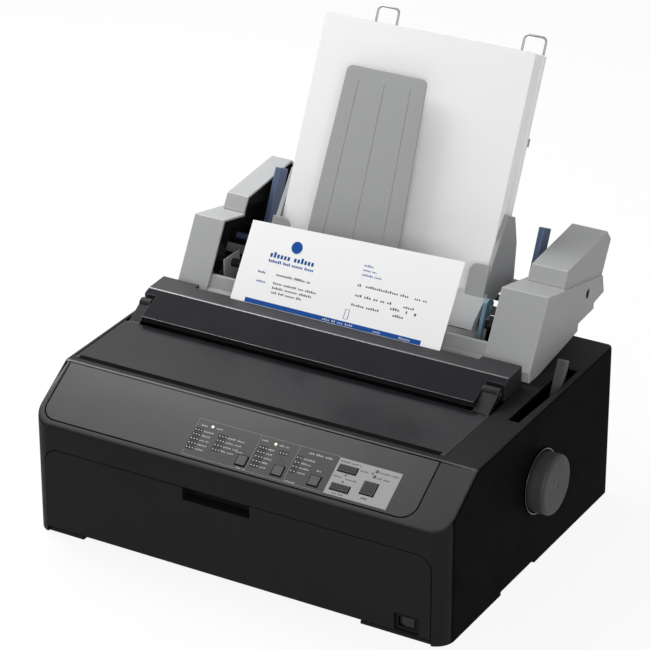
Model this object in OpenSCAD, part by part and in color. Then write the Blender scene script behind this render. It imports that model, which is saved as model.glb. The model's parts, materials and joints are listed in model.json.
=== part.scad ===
// Desktop impact printer with a clip-on cut-sheet feeder.
// Lengths are millimetres. X runs left to right, Y from the front face to the
// rear, Z up from the desk. Everything is drawn with X from the middle of the
// case and Y from its front face, and is then moved so that the middle of the
// whole footprint, knob and sheet supports included, stands over the origin.

/* [Case] */
// Width of the case
case_w = 414; // [410:1:440]
// Depth of the case
case_d = 320; // [316:1:340]
// Height of the upright front face
front_h = 109.5; // [107:0.5:114]
// Depth that the sloping panel covers
bevel_d = 57; // [54:1:58]
// Height at the top of the sloping panel
shoulder_h = 145.7; // [145:0.1:147]
// Height at the rear edge of the top
rear_h = 149.6; // [149:0.1:152]
// Radius of the front corners in plan
front_r = 18; // [12:1:22]
// Radius of the rear corners in plan
rear_r = 10; // [6:1:16]
// Wall of the case shells
wall = 3; // [2.4:0.2:4]
// Height of the seam between the two shells
seam_h = 27; // [25:1:30]
// Underside of the case above the desk
floor_h = 4.6; // [4.2:0.2:6]

/* [Front cover] */
// Case left standing on each side of the fold-down front cover
cover_side = 14; // [12:0.5:22]
// Height of the top edge of the front cover
cover_top = 85.8; // [82:0.2:88]
// Left end of the finger notch
notch_x0 = -49.7; // [-60:0.1:-30]
// Width of the finger notch
notch_w = 67.4; // [50:0.1:80]
// Depth of the finger notch below the top edge
notch_h = 12; // [10:0.5:14]

/* [Lid] */
// Left edge of the lid
lid_x0 = -202; // [-203:0.1:-200]
// Right edge of the lid
lid_x1 = 170.4; // [168:0.1:171]
// Front edge of the lid
lid_y0 = 64.8; // [63:0.1:68]
// Rear edge of the lid
lid_y1 = 146; // [143:0.1:147]
// Thickness of the lid
lid_t = 2.6; // [2:0.1:3]
// Play around the lid, the panel and the front cover
gap = 0.6; // [0.4:0.1:1]

/* [Exit cover] */
// Left end of the exit cover
exit_x0 = -199; // [-201:0.5:-197]
// Right end of the exit cover
exit_x1 = 170; // [168:0.5:172]
// Front lip of the exit cover, from the front face
lip_y = 148; // [147:0.5:150]
// Height of the front lip
lip_z = 153.5; // [152.5:0.5:155]
// Crest line of the exit cover, from the front face
crest_y = 182; // [180:0.5:185]
// Height of the crest line
crest_z = 166.3; // [165:0.1:168]
// Rear edge of the exit cover
exit_y1 = 206.5; // [205:0.5:208]
// Height of the rear edge
exit_z1 = 167.5; // [166:0.5:169]
// Thickness of the exit cover
exit_t = 2.4; // [2:0.1:3]
// Width of the left hinge corner cut out of the exit cover
ear_left = 12.5; // [10:0.5:16]
// Width of the right hinge corner cut out of the exit cover
ear_right = 17; // [14:0.5:20]

/* [Platen] */
// Platen axis from the front face
platen_y = 173; // [171:0.5:174]
// Height of the platen axis
platen_z = 80; // [78:0.5:82]
// Radius of the rubber roller
platen_r = 16; // [14:0.5:16.5]
// Radius of the platen shaft
shaft_r = 5; // [4:0.5:6]
// Radius of the feed knob
knob_r = 27.5; // [24:0.5:29]
// How far the knob stands out of the case
knob_out = 16.6; // [12:0.2:20]

/* [Paper] */
// Width of a sheet
paper_w = 215.9; // [205:0.1:217]
// Length of a sheet
paper_l = 279.4; // [270:0.1:297]
// Thickness of the loaded stack
stack_t = 24.6; // [15:0.2:25]
// Thickness of the printed page
page_t = 0.4; // [0.3:0.1:0.5]
// Middle of the paper path, from the middle of the case
path_x = -14.5; // [-16:0.5:-13]
// Lean of the stack away from upright
lean = 24.95; // [24:0.05:26]

/* [Feeder] */
// Clear width between the feeder's side housings
feed_w = 286; // [284:1:290]
// Width of the left housing
left_w = 32; // [28:1:34]
// Width of the right housing
right_w = 46; // [42:1:48]
// Wall of the housings
feed_wall = 2.4; // [2:0.2:3]
// Radius of the shaft that the sheet guides slide on
guide_shaft_r = 4; // [3:0.5:4.5]
// Radius of the pick-up rollers
pick_r = 9; // [8:0.5:9.5]
// Radius of the wire of the sheet supports
wire_r = 1.1; // [0.9:0.1:1.3]
// Width of each wire support
wire_w = 24; // [20:1:28]

/* [Buttons] */
// Travel of a panel button
press = 0.8; // [0.5:0.1:1]
// Side of the three square buttons in the dark field
key_w = 8.8; // [7:0.2:9.4]

/* [Fits] */
// Radial clearance of a running fit
run = 0.05; // [0.02:0.01:0.1]
// Air between pieces that move past each other
air = 0.4; // [0.3:0.05:0.5]

/* [Hidden] */
$fn = 48;

half_w = case_w / 2;
bevel_a = atan2(shoulder_h - front_h, bevel_d);
bevel_l = norm([bevel_d, shoulder_h - front_h]);
top_k = (rear_h - shoulder_h) / (case_d - bevel_d);
panel_wall = 2 * wall;
seat = 0.02;
function top_z(y) = shoulder_h + (y - bevel_d) * top_k;

// lid hinge
hinge_y = lip_y + 20;
hinge_z = lip_z + 3.5;
hinge_r = 5;
pin_r = 1.8;

// front cover hinge
cover_axis_y = 6;
cover_axis_z = 13;
cover_z0 = 7;
cover_x = half_w - cover_side;
cover_hinge_x = cover_x - 5.5;

// side frames stand close outside the roller
frame_t = 2;
frame_x0 = path_x - feed_w / 2 - 12.5;
frame_x1 = path_x + feed_w / 2 + 12.5;
base_z = floor_h + wall;
roller_x0 = path_x - 140;
roller_x1 = path_x + 140;

// stack frame: origin at the lower front edge of the stack
stack_y = platen_y + 82.5;
stack_z = platen_z + 53.8;
module leaned() translate([path_x, stack_y, stack_z]) rotate([-lean, 0, 0]) children();
function lean_y(y, z) = stack_y + y * cos(lean) + z * sin(lean);
function lean_z(y, z) = stack_z - y * sin(lean) + z * cos(lean);

// pick-up shaft in the stack frame, and its place over the desk
pick_up = 34.4;
pick_off = -pick_r - air;
pick_y = lean_y(pick_off, pick_up);
pick_z = lean_z(pick_off, pick_up);
pick_shaft_r = 4;

// gear train, left of the left side frame: the wheels from the platen to the
// pick-up shaft stand on one line, and the tooth size fills its length exactly
gear_x0 = frame_x0 - frame_t - 8;
gear_t = 6;
PLATEN_TEETH = 32;
IDLER_TEETH = 29;
PICK_TEETH = 19;
PINION_TEETH = 10;
train_l = norm([pick_y - platen_y, pick_z - platen_z]);
train_a = atan2(pick_z - platen_z, pick_y - platen_y);
tooth = train_l / (PLATEN_TEETH + 4 * IDLER_TEETH + PICK_TEETH);
idler_r = (IDLER_TEETH + 1.6) * tooth;
idler1_d = (PLATEN_TEETH + IDLER_TEETH) * tooth;
idler2_d = idler1_d + 2 * IDLER_TEETH * tooth;
function train_y(d) = platen_y + d * cos(train_a);
function train_z(d) = platen_z + d * sin(train_a);
motor_a = -45;
motor_d = (PLATEN_TEETH + PINION_TEETH) * tooth;
motor_y = platen_y + motor_d * cos(motor_a);
motor_z = platen_z + motor_d * sin(motor_a);

// feeder housings
left_in = path_x - feed_w / 2;
right_in = path_x + feed_w / 2;
left_out = left_in - left_w;
right_out = right_in + right_w;
feed_z0 = top_z(exit_y1 + 8) + 0.4;

// carriage
rail_y = 108;
rail_z = 70;
rail_r = 5;
car_w = 50;
belt_y = 95;
belt_z = 50;
pulley_r = 6;
pulley_x0 = frame_x0 + 22;
pulley_x1 = frame_x1 - 22;

// release lever slot in the case top
slot_x0 = half_w - 19;
slot_x1 = half_w - 6.5;
slot_y0 = 146;
slot_y1 = 256;
lever_x = half_w - 13;
lever_y = 214;
lever_z = 112;

// wire supports
wire_off = stack_t + 2.7 + wire_r + 1;
wire_l = 184;
wire_top = paper_l + 16;
wire_left_x = -59.5;
wire_right_x = 91.4;

// rearmost point: the top of the wire supports
overall_d = lean_y(wire_off + wire_r, wire_top);
module placed() translate([-knob_out / 2, -overall_d / 2, 0]) children();
module box(x0, x1, y0, y1, z0, z1)
  translate([x0, y0, z0]) cube([x1 - x0, y1 - y0, z1 - z0]);
module cyl_x(x0, x1, y, z, r, fn = 48)
  translate([x0, y, z]) rotate([0, 90, 0]) cylinder(h = x1 - x0, r = r, $fn = fn);
module prism_x(x0, x1, pts)
  translate([x0, 0, 0]) rotate([90, 0, 90]) linear_extrude(x1 - x0) polygon(pts);

// rectangle in plan with round corners
module plan(x0, x1, y0, y1, rf, rr) {
  for (x = [x0 + rf, x1 - rf]) translate([x, y0 + rf]) circle(rf);
  for (x = [x0 + rr, x1 - rr]) translate([x, y1 - rr]) circle(rr);
  translate([x0 + rf, y0]) square([x1 - x0 - 2 * rf, (y1 - y0) / 2]);
  translate([x0 + rr, (y0 + y1) / 2]) square([x1 - x0 - 2 * rr, (y1 - y0) / 2]);
  translate([x0, y0 + rf]) square([x1 - x0, y1 - y0 - rf - rr]);
}

// side outline of the case, inset by a wall
function bevel_in(t, w) =
  (shoulder_h - bevel_d * top_k - w - front_h + t / cos(bevel_a)) / (tan(bevel_a) - top_k);
function side(w, t, z0) = [[w, z0], [w, front_h + w * tan(bevel_a) - t / cos(bevel_a)],
  [bevel_in(t, w), top_z(bevel_in(t, w)) - w], [case_d - w - 4, top_z(case_d - w - 4) - w],
  [case_d - w, top_z(case_d) - w - 4], [case_d - w, z0]];

module case_solid(z0)
  intersection() {
    prism_x(-half_w, half_w, side(0, 0, z0));
    linear_extrude(rear_h + 5) plan(-half_w, half_w, 0, case_d, front_r, rear_r);
  }
module case_hollow(z0)
  intersection() {
    prism_x(-half_w + wall, half_w - wall, side(wall, panel_wall, z0));
    linear_extrude(rear_h + 5) plan(-half_w + wall, half_w - wall, wall, case_d - wall,
      front_r - wall, rear_r - wall);
  }

// frame on the sloping panel: X as before, Y up the slope, Z outwards
module on_bevel() translate([0, 0, front_h]) rotate([bevel_a, 0, 0]) children();

// opening of the front cover, with round upper corners
module cover_shape(grow, y0, y1, z0) {
  r = 14;
  translate([0, y1, 0]) rotate([90, 0, 0]) linear_extrude(y1 - y0) {
    translate([-cover_x - grow, z0])
      square([2 * (cover_x + grow), cover_top + grow - r - z0]);
    translate([-cover_x - grow + r, z0])
      square([2 * (cover_x + grow - r), cover_top + grow - z0]);
    for (s = [-1, 1]) translate([s * (cover_x + grow - r), cover_top + grow - r]) circle(r);
  }
}

// power switch window
sw_x = cover_x - 22.5;
sw_w = 23;
sw_z0 = 8;
sw_z1 = 24.3;

// control panel on the slope
panel_x0 = -half_w + 7;
panel_x1 = half_w - 36;
panel_s0 = 6.5;
panel_s1 = bevel_l - 2;
panel_t = 3;
panel_r = 14;
module panel_shape(grow) {
  x0 = panel_x0 - grow;
  x1 = panel_x1 + grow;
  s0 = panel_s0 - grow;
  s1 = panel_s1 + grow;
  for (x = [x0 + panel_r, x1 - panel_r]) translate([x, s0 + panel_r]) circle(panel_r);
  translate([x0 + panel_r, s0]) square([x1 - x0 - 2 * panel_r, s1 - s0]);
  translate([x0, s0 + panel_r]) square([x1 - x0, s1 - s0 - panel_r]);
}

// buttons: [x, distance up the slope, width, height]
key_s = 17.5;
KEYS = [[1.8, key_s, key_w, key_w], [37.6, key_s, key_w, key_w], [73.2, key_s, key_w, key_w],
  [97.1, 36, 16.4, 5.6], [98.1, 17.6, 16.4, 5.4], [123, 24, 11.8, 11.4]];
key_t = 3.4;

module lower_case() color([0.10, 0.10, 0.11]) placed()
  difference() {
    union() {
      difference() {
        intersection() {
          case_solid(floor_h);
          box(-half_w, half_w, 0, case_d, floor_h, seam_h);
        }
        intersection() {
          case_hollow(floor_h + wall);
          box(-half_w, half_w, 0, case_d, floor_h + wall, seam_h + 1);
        }
      }
      // corner pads under the floor
      for (s = [[-half_w, -half_w + 50], [half_w - 82, half_w]],
           t = [[0, 103], [case_d - 153, case_d]])
        intersection() {
          box(s[0], s[1], t[0], t[1], 1.2, floor_h + 1);
          linear_extrude(20) plan(-half_w, half_w, 0, case_d, front_r, rear_r);
        }
      // hinge posts of the front cover, with their pins
      for (s = [-1, 1]) {
        x = s * cover_hinge_x;
        box(x - 2, x + 2, cover_axis_y + 8, cover_axis_y + 14, floor_h + 1, cover_axis_z + 4);
        box(x - 2, x + 2, cover_axis_y - 2.6, cover_axis_y + 14, cover_axis_z - 2.6,
          cover_axis_z + 4);
        cyl_x(x - 5.2, x + 5.2, cover_axis_y, cover_axis_z, pin_r);
      }
      // bosses of the four case screws
      for (p = SCREWS) translate([p[0], p[1], floor_h + 1])
        cylinder(h = seam_h - floor_h - 1, r = boss_r);
      // bracket behind the power switch
      box(sw_x - 8, sw_x + 8, 24, 27, floor_h + 1, sw_z1 - 2);
    }
    // mouth of the front cover, and the room it swings through
    cover_shape(gap, -1, wall + 0.01, -1);
    box(-cover_x - gap, cover_x + gap, wall, cover_axis_y + 5.5, cover_z0 - gap, seam_h + 1);
    difference() {
      cyl_x(-cover_x - gap, cover_x + gap, cover_axis_y, cover_axis_z,
        norm([cover_axis_y, cover_axis_z - cover_z0]) + gap);
      for (x = [-cover_hinge_x, cover_hinge_x]) {
        box(x - 2.01, x + 2.01, cover_axis_y - 3, case_d, cover_axis_z - 3, cover_axis_z + 5);
        cyl_x(x - 5.3, x + 5.3, cover_axis_y, cover_axis_z, pin_r + 0.01);
      }
    }
    for (p = SCREWS) translate([p[0], p[1], 0]) {
      cylinder(h = seam_h + 1, r = screw_r);
      cylinder(h = screw_z + head_h, r = head_r + air);
    }
    for (p = FEET) translate([p[0], p[1], 0]) cylinder(h = 4, r = foot_r);
  }

screw_r = 1.7;
screw_z = 2.2;
head_r = 3.4;
head_h = 2.2;
boss_r = 5;
SCREWS = [for (x = [-half_w + 24, half_w - 24], y = [40, case_d - 26]) [x, y]];
foot_r = 9;
FEET = [for (x = [-half_w + 26, half_w - 26], y = [22, case_d - 46]) [x, y]];

module rubber_feet() color([0.05, 0.05, 0.05]) placed()
  for (p = FEET) translate([p[0], p[1], 0]) cylinder(h = 4, r = foot_r);

module case_screws() color([0.6, 0.6, 0.62]) placed()
  for (p = SCREWS) translate([p[0], p[1], screw_z]) {
    cylinder(h = seam_h + 6, r = screw_r);
    cylinder(h = head_h, r = head_r);
  }

inlet_x = half_w - 60;
inlet_w = 28;
inlet_h = 20;
inlet_z = 30;
port_x = -half_w + 90;
port_w = 54;
port_h = 14;
port_z = 34;

module upper_case() color([0.13, 0.13, 0.14]) placed()
  difference() {
    union() {
      difference() {
        intersection() {
          case_solid(0);
          box(-half_w, half_w, 0, case_d, seam_h, rear_h + 5);
        }
        case_hollow(0);
      }
      // columns over the case screws
      for (p = SCREWS) {
        translate([p[0], p[1], seam_h]) cylinder(h = 9, r = boss_r);
        box(p[0] < 0 ? 1 - half_w : p[0] + 3, p[0] < 0 ? p[0] - 3 : half_w - 1,
          p[1] - 3, p[1] + 3, seam_h + 3, seam_h + 9);
      }
    }
    for (p = SCREWS) translate([p[0], p[1], seam_h - 1]) cylinder(h = 12, r = screw_r);
    cover_shape(gap, -1, wall + 0.01, -1);
    // seat of the control panel and the window inside it
    on_bevel() {
      translate([0, 0, -panel_t]) linear_extrude(panel_t + 1) panel_shape(gap);
      translate([panel_x0 + 12, panel_s0 + 4, -20])
        cube([panel_x1 - panel_x0 - 24, panel_s1 - panel_s0 - 8, 20]);
    }
    // mouth under the lid and its hinge corners
    box(lid_x0 - gap, lid_x1 + gap, lid_y0 - gap, hinge_y + 6, front_h, rear_h + 5);
    // paper path under the exit cover, and the throat of the feeder
    box(frame_x0 - 14, frame_x1 + 14, hinge_y, exit_y1, front_h, rear_h + 5);
    box(left_in + 2, right_in - 2, exit_y1 - 1, lean_y(stack_t, 0) + 24, front_h, rear_h + 5);
    box(gear_x0 - 4, left_in + 3, exit_y1 - 1, train_y(idler2_d) + idler_r + 4, front_h,
      rear_h + 5);
    // knob recess and shaft hole
    cyl_x(half_w - 1.6, half_w + 1, platen_y, platen_z, knob_r + 3.5);
    cyl_x(half_w - wall - 1, half_w + 1, platen_y, platen_z, shaft_r + 2);
    // release lever slot
    linear_extrude(rear_h + 5) polygon([[slot_x0, slot_y0], [slot_x0 + 10, slot_y0],
      [slot_x1, slot_y0 + 60], [slot_x1, slot_y1], [slot_x0, slot_y1]]);
    translate([inlet_x - inlet_w / 2, case_d - wall - 1, inlet_z]) cube([inlet_w, 8, inlet_h]);
    translate([port_x - port_w / 2, case_d - wall - 1, port_z]) cube([port_w, 8, port_h]);
    // vent slots in the rear wall
    for (i = [0 : 11]) box(-20 + i * 9, -20 + i * 9 + 4.5, case_d - wall - 1, case_d + 1,
      62, 96);
  }

module front_cover() color([0.12, 0.12, 0.13]) placed() {
  nx1 = notch_x0 + notch_w;
  difference() {
    union() {
      intersection() {
        cover_shape(0, 0, wall, cover_z0);
        box(-cover_x, cover_x, 0, wall, cover_z0, cover_top);
      }
      // finger pocket behind the notch
      box(notch_x0 - 2, nx1 + 2, wall - 1, 15, cover_top - notch_h - 2, cover_top - 2);
      // hinge arms
      for (s = [-1, 1], e = [-5, 2.8]) box(s * cover_hinge_x + e, s * cover_hinge_x + e + 2.2,
        wall - 1, cover_axis_y + 3.4, cover_axis_z - 3.2, cover_axis_z + 8);
    }
    box(notch_x0, nx1, -1, 13, cover_top - notch_h, cover_top + 1);
    for (x = [-cover_hinge_x, cover_hinge_x])
      cyl_x(x - 5.4, x + 5.4, cover_axis_y, cover_axis_z, pin_r + run);
    box(sw_x - sw_w / 2, sw_x + sw_w / 2, -1, wall + 1, sw_z0, sw_z1);
  }
}

module switch_housing() color([0.04, 0.04, 0.04]) placed()
  difference() {
    union() {
      box(sw_x - 10.6, sw_x + 10.6, 1, 4, 9, sw_z1 - 1.1);
      box(sw_x - 9, sw_x + 9, 1, 24, 11, sw_z1 - 1.1);
    }
    box(sw_x - 8, sw_x + 8, 0, 16, 12.4, sw_z1 - 2.8);
    translate([sw_x, 8, 10]) cylinder(h = 30, r = 1.2 + run);
  }

module power_rocker() color([0.09, 0.09, 0.1]) placed()
  translate([sw_x, 8, 0]) rotate([0, 0, -6]) {
    translate([0, 0, 12.8]) linear_extrude(sw_z1 - 3.2 - 12.8)
      polygon([[-7, -5.4], [0, -6.4], [7, -5.4], [5.6, 1.5], [0, 4.5], [-5.6, 1.5]]);
    translate([0, 0, 11.4]) cylinder(h = sw_z1 - 1.8 - 11.4, r = 1.2);
  }

module lid() color([0.22, 0.21, 0.25]) placed() {
  dz = top_k * (lid_y1 - lid_y0);
  difference() {
    union() {
      prism_x(lid_x0, lid_x1, [[lid_y0, top_z(lid_y0) - lid_t], [lid_y0, top_z(lid_y0)],
        [lid_y1, top_z(lid_y1)], [lid_y1, top_z(lid_y1) - lid_t]]);
      // stiffening lip under the front edge
      box(lid_x0 + 6, lid_x1 - 6, lid_y0 + 3, lid_y0 + 5, top_z(lid_y0) - lid_t - 3,
        top_z(lid_y0) - 1);
      // arms that reach back to the hinge pins
      for (e = [[exit_x0 + 0.6, ear_left], [exit_x1 - ear_right + air, ear_right]]) {
        x = e[0];
        prism_x(x, x + e[1] - 1.4, [[lid_y1 - 6, top_z(lid_y1) - lid_t], [lid_y1 - 6, top_z(lid_y1)],
          [lid_y1 + 0.5, top_z(lid_y1)], [hinge_y - 3, hinge_z + 1.5],
          [hinge_y, hinge_z - hinge_r + 0.4], [lid_y1 + 3, top_z(lid_y1) - lid_t]]);
        cyl_x(x, x + e[1] - 1.4, hinge_y, hinge_z, hinge_r);
      }
    }
    cyl_x(exit_x0 - 2, exit_x1 + 2, hinge_y, hinge_z, pin_r + run);
  }
}

module exit_cover() color([0.16, 0.16, 0.18]) placed() {
  foot_z = top_z(exit_y1) + seat;
  outer = [[lip_y, lip_z], [crest_y, crest_z], [exit_y1, exit_z1], [exit_y1, foot_z],
    [lip_y + 26, foot_z]];
  inner = [[lip_y + 5, lip_z + 5 * (crest_z - lip_z) / (crest_y - lip_y) - exit_t],
    [crest_y, crest_z - exit_t], [exit_y1 - exit_t, exit_z1 - exit_t],
    [exit_y1 - exit_t, foot_z - 1], [lip_y + 5, foot_z - 1]];
  ny = hinge_y + hinge_r + 1.2;
  difference() {
    union() {
      difference() {
        prism_x(exit_x0, exit_x1, outer);
        prism_x(exit_x0 + exit_t, exit_x1 - exit_t, inner);
        // hinge corners
        box(exit_x0 - 1, exit_x0 + ear_left, lip_y - 1, ny, foot_z - 2, crest_z + 5);
        box(exit_x1 - ear_right, exit_x1 + 1, lip_y - 1, ny, foot_z - 2, crest_z + 5);
      }
      // skirt that hangs behind the front lip
      box(exit_x0 + ear_left, exit_x1 - ear_right, lip_y + 2, lip_y + 2 + exit_t, foot_z, lip_z);
      for (x = [exit_x0 + ear_left, exit_x1 - ear_right - exit_t])
        intersection() {
          prism_x(x, x + exit_t, outer);
          box(x, x + exit_t, lip_y, ny + 2, 0, 200);
        }
      // hinge pins, held by the webs beside the corners
      cyl_x(exit_x0 + 1.2, exit_x0 + ear_left + 1, hinge_y, hinge_z, pin_r);
      cyl_x(exit_x1 - ear_right - 1, exit_x1 - 1.2, hinge_y, hinge_z, pin_r);
      // rear wall webs of the corners
      for (e = [[exit_x0, exit_x0 + ear_left + exit_t], [exit_x1 - ear_right - exit_t, exit_x1]])
        intersection() {
          prism_x(e[0], e[1], outer);
          box(e[0], e[1], ny, ny + exit_t, 0, 200);
        }
    }
    // recess that lets the page out
    box(path_x - page_gap_w / 2, path_x + page_gap_w / 2, page_y, exit_y1 + 1, foot_z - 1,
      exit_z1 + 5);
    box(path_x - paper_w / 2 - 1, path_x + paper_w / 2 + 1, page_y - 2.4, exit_y1, crest_z - 8,
      exit_z1 + 5);
  }
}
page_y = exit_y1 - 6.5;
page_gap_w = feed_w + 6;

module control_panel() color([0.20, 0.20, 0.21]) placed() on_bevel()
  difference() {
    translate([0, 0, -panel_t + seat]) linear_extrude(panel_t - seat) panel_shape(0);
    for (k = KEYS) translate([k[0] - k[2] / 2 - air, k[1] - k[3] / 2 - air, -panel_t - 1])
      cube([k[2] + 2 * air, k[3] + 2 * air, panel_t + 2]);
    for (p = LENSES) translate([p[0], p[1], -panel_t - 1]) cylinder(h = panel_t + 2, r = lens_r + run);
  }
lens_r = 1.3;
LENSES = [[-39.1, 41], [24, 41], [122.6, 41.2], [122.6, 36]];

post_x = 55;
module panel_board() color([0.1, 0.3, 0.16]) placed() on_bevel() {
  bz = -panel_t - 4;
  translate([panel_x0 + 30, panel_s0 + 8, bz - 1.6])
    cube([panel_x1 - panel_x0 - 50, panel_s1 - panel_s0 - 14, 1.6]);
  for (k = KEYS) translate([k[0], k[1], bz - 0.5]) cylinder(h = 1.1, r = 2);
  // posts that carry the board under the panel
  for (x = [panel_x0 + 34, post_x, panel_x1 - 24], s = [panel_s0 + 11, panel_s1 - 9])
    translate([x, s, bz - 0.5]) cylinder(h = 4.5, r = 2.5);
}

module indicator_lenses() color([0.9, 0.85, 0.6]) placed() on_bevel()
  for (p = LENSES) translate([p[0], p[1], -panel_t - 3.95]) cylinder(h = panel_t + 4, r = lens_r);

module key(i) placed() on_bevel() translate([KEYS[i][0], KEYS[i][1], 0]) {
  w = KEYS[i][2];
  h = KEYS[i][3];
  translate([-w / 2, -h / 2, -panel_t - 1.6]) cube([w, h, panel_t + 1.6 + key_t - 2.4]);
  translate([-w / 2 - 1.2, -h / 2 - 1.2, -panel_t - 2.4]) cube([w + 2.4, h + 2.4, 1.2]);
}
module font_button() color([0.2, 0.2, 0.21]) key(0);
module pitch_button() color([0.2, 0.2, 0.21]) key(1);
module tear_off_button() color([0.2, 0.2, 0.21]) key(2);
module load_button() color([0.25, 0.25, 0.26]) key(3);
module feed_button() color([0.25, 0.25, 0.26]) key(4);
module pause_button() color([0.25, 0.25, 0.26]) key(5);

// side frames, base plate and the pins that stand on them
function frame_side(top) = [[58, base_z], [262, base_z], [262, 100], [250, top], [222, top],
  [188, 126], [150, 112], [110, 104], [64, 104], [58, 60]];
lever_pin_r = 2.5;
idler_pin_r = 3;

module chassis() color([0.62, 0.63, 0.65]) placed() {
  difference() {
    union() {
      prism_x(frame_x0 - frame_t, frame_x0, frame_side(train_z(idler2_d) + 7));
      prism_x(frame_x1, frame_x1 + frame_t, frame_side(shoulder_h - wall - 3));
    }
    cyl_x(-half_w, half_w, platen_y, platen_z, shaft_r + run);
    cyl_x(-half_w, half_w, rail_y, rail_z, rail_r);
  }
  box(frame_x0, frame_x1, 58, board_y1 + 1, base_z, base_z + 1.6);
  box(frame_x1 + frame_t, lever_x - 6, 196, 240, base_z, base_z + 1.6);
  prism_x(lever_x - 8, lever_x - 6, [[196, base_z], [240, base_z], [224, lever_z + 8],
    [204, lever_z + 8]]);
  cyl_x(lever_x - 8, lever_x + 5.5, lever_y, lever_z, lever_pin_r);
  for (d = [idler1_d, idler2_d])
    cyl_x(gear_x0 - 1, frame_x0 - frame_t, train_y(d), train_z(d), idler_pin_r);
  translate([pulley_x1, belt_y, base_z]) cylinder(h = belt_z + 9 - base_z, r = 2);
  translate([pulley_x1, belt_y, base_z]) cylinder(h = belt_z - 1.4 - base_z, r = 4);
  // rear stay between the frames
  box(frame_x0, frame_x1, 255, 262, 92, 94);
}

module carriage_rail() color([0.78, 0.79, 0.8]) placed()
  cyl_x(frame_x0 - frame_t - 1, frame_x1 + frame_t + 1, rail_y, rail_z, rail_r);

module paper_guide() color([0.5, 0.5, 0.52]) placed()
  difference() {
    cyl_x(frame_x0, frame_x1, platen_y, platen_z, platen_r + 3.2);
    cyl_x(frame_x0 - 1, frame_x1 + 1, platen_y, platen_z, platen_r + 2);
    box(frame_x0 - 1, frame_x1 + 1, 0, case_d, platen_z - 7, 200);
  }

module platen_roller() color([0.07, 0.07, 0.07]) placed()
  difference() {
    cyl_x(roller_x0, roller_x1, platen_y, platen_z, platen_r, 96);
    cyl_x(roller_x0 - 1, roller_x1 + 1, platen_y, platen_z, shaft_r);
  }

module platen_shaft() color([0.7, 0.7, 0.72]) placed()
  cyl_x(gear_x0 - 1, half_w + knob_out - 6, platen_y, platen_z, shaft_r);

// toothed wheel along X with n teeth, one of them at angle a0 from the Y axis;
// tooth is half the usual gear module, so the pitch circle has radius n * tooth
module gear(x, y, z, n, a0, bore) {
  r = n * tooth;
  flank = [[-0.33, r - 2.3 * tooth], [-0.21, r], [-0.1, r + 1.6 * tooth],
    [0.1, r + 1.6 * tooth], [0.21, r], [0.33, r - 2.3 * tooth]];
  difference() {
    translate([x, y, z]) rotate([90, 0, 90]) linear_extrude(gear_t)
      polygon([for (i = [0 : n - 1], p = flank)
        let (a = a0 + 360 * (i + p[0]) / n) p[1] * [cos(a), sin(a)]]);
    cyl_x(x - 1, x + gear_t + 1, y, z, bore);
  }
}
// angle of a tooth that leaves a gap towards angle a
function gap_at(a, n) = a + 180 / n;

module platen_gear() color([0.85, 0.85, 0.8])
  placed() gear(gear_x0, platen_y, platen_z, PLATEN_TEETH, train_a, shaft_r);
module idler(d) placed()
  gear(gear_x0, train_y(d), train_z(d), IDLER_TEETH, gap_at(train_a + 180, IDLER_TEETH),
    idler_pin_r + run);
module lower_idler() color([0.85, 0.85, 0.8]) idler(idler1_d);
module upper_idler() color([0.85, 0.85, 0.8]) idler(idler2_d);

motor_x1 = gear_x0 - 2.5;
motor_x0 = -half_w + wall + 0.8;
module motor_pinion() color([0.8, 0.7, 0.4]) placed() {
  gear(gear_x0, motor_y, motor_z, PINION_TEETH, gap_at(
    motor_a + 180 - (train_a - motor_a) * PLATEN_TEETH / PINION_TEETH, PINION_TEETH), 1.5);
  cyl_x(motor_x0 + 4, gear_x0 + gear_t, motor_y, motor_z, 1.5);
}
module feed_motor() color([0.45, 0.45, 0.47]) placed()
  difference() {
    union() {
      cyl_x(motor_x0, motor_x1, motor_y, motor_z, 17);
      box(motor_x1 - 2, motor_x1, motor_y - 14, motor_y + 24, motor_z - 24, motor_z + 10);
      for (p = [[20, -8], [-8, -20]])
        cyl_x(motor_x1 - 1, frame_x0 - frame_t, motor_y + p[0], motor_z + p[1], 2.5);
    }
    cyl_x(motor_x0 + 3.9, motor_x1 + 1, motor_y, motor_z, 1.5 + run);
  }

module feed_knob() color([0.26, 0.26, 0.26]) placed() {
  n = 60;
  x0 = half_w - 1;
  x1 = half_w + knob_out;
  difference() {
    union() {
      translate([x0, platen_y, platen_z]) rotate([90, 0, 90]) linear_extrude(knob_out - 1.6)
        polygon([for (i = [0 : n - 1], p = [[0, knob_r - 0.7], [0.5, knob_r]])
          let (a = 360 * (i + p[0]) / n) p[1] * [cos(a), sin(a)]]);
      translate([x1 - 2.6, platen_y, platen_z]) rotate([0, 90, 0])
        cylinder(h = 2.6, r1 = knob_r - 0.8, r2 = knob_r - 3, $fn = 96);
    }
    cyl_x(x0 - 1, half_w + knob_out - 6, platen_y, platen_z, shaft_r);
    difference() {
      cyl_x(x0 - 1, x1 - 5, platen_y, platen_z, knob_r - 3.5);
      cyl_x(x0 - 2, x1, platen_y, platen_z, shaft_r + 3);
    }
  }
}

module carriage() color([0.14, 0.14, 0.15]) placed() {
  x0 = path_x - car_w / 2;
  x1 = path_x + car_w / 2;
  strand = belt_y - pulley_r - 0.3;
  difference() {
    box(x0, x1, belt_y - 11, rail_y + 14, belt_z + 9, rail_z + 10);
    cyl_x(x0 - 1, x1 + 1, rail_y, rail_z, rail_r + run);
  }
  // clip around the front strand of the belt
  for (y = [strand - 1.2 - air - 1.6, strand + air])
    box(path_x - 8, path_x + 8, y, y + 1.6, belt_z, belt_z + 9.5);
}

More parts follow.
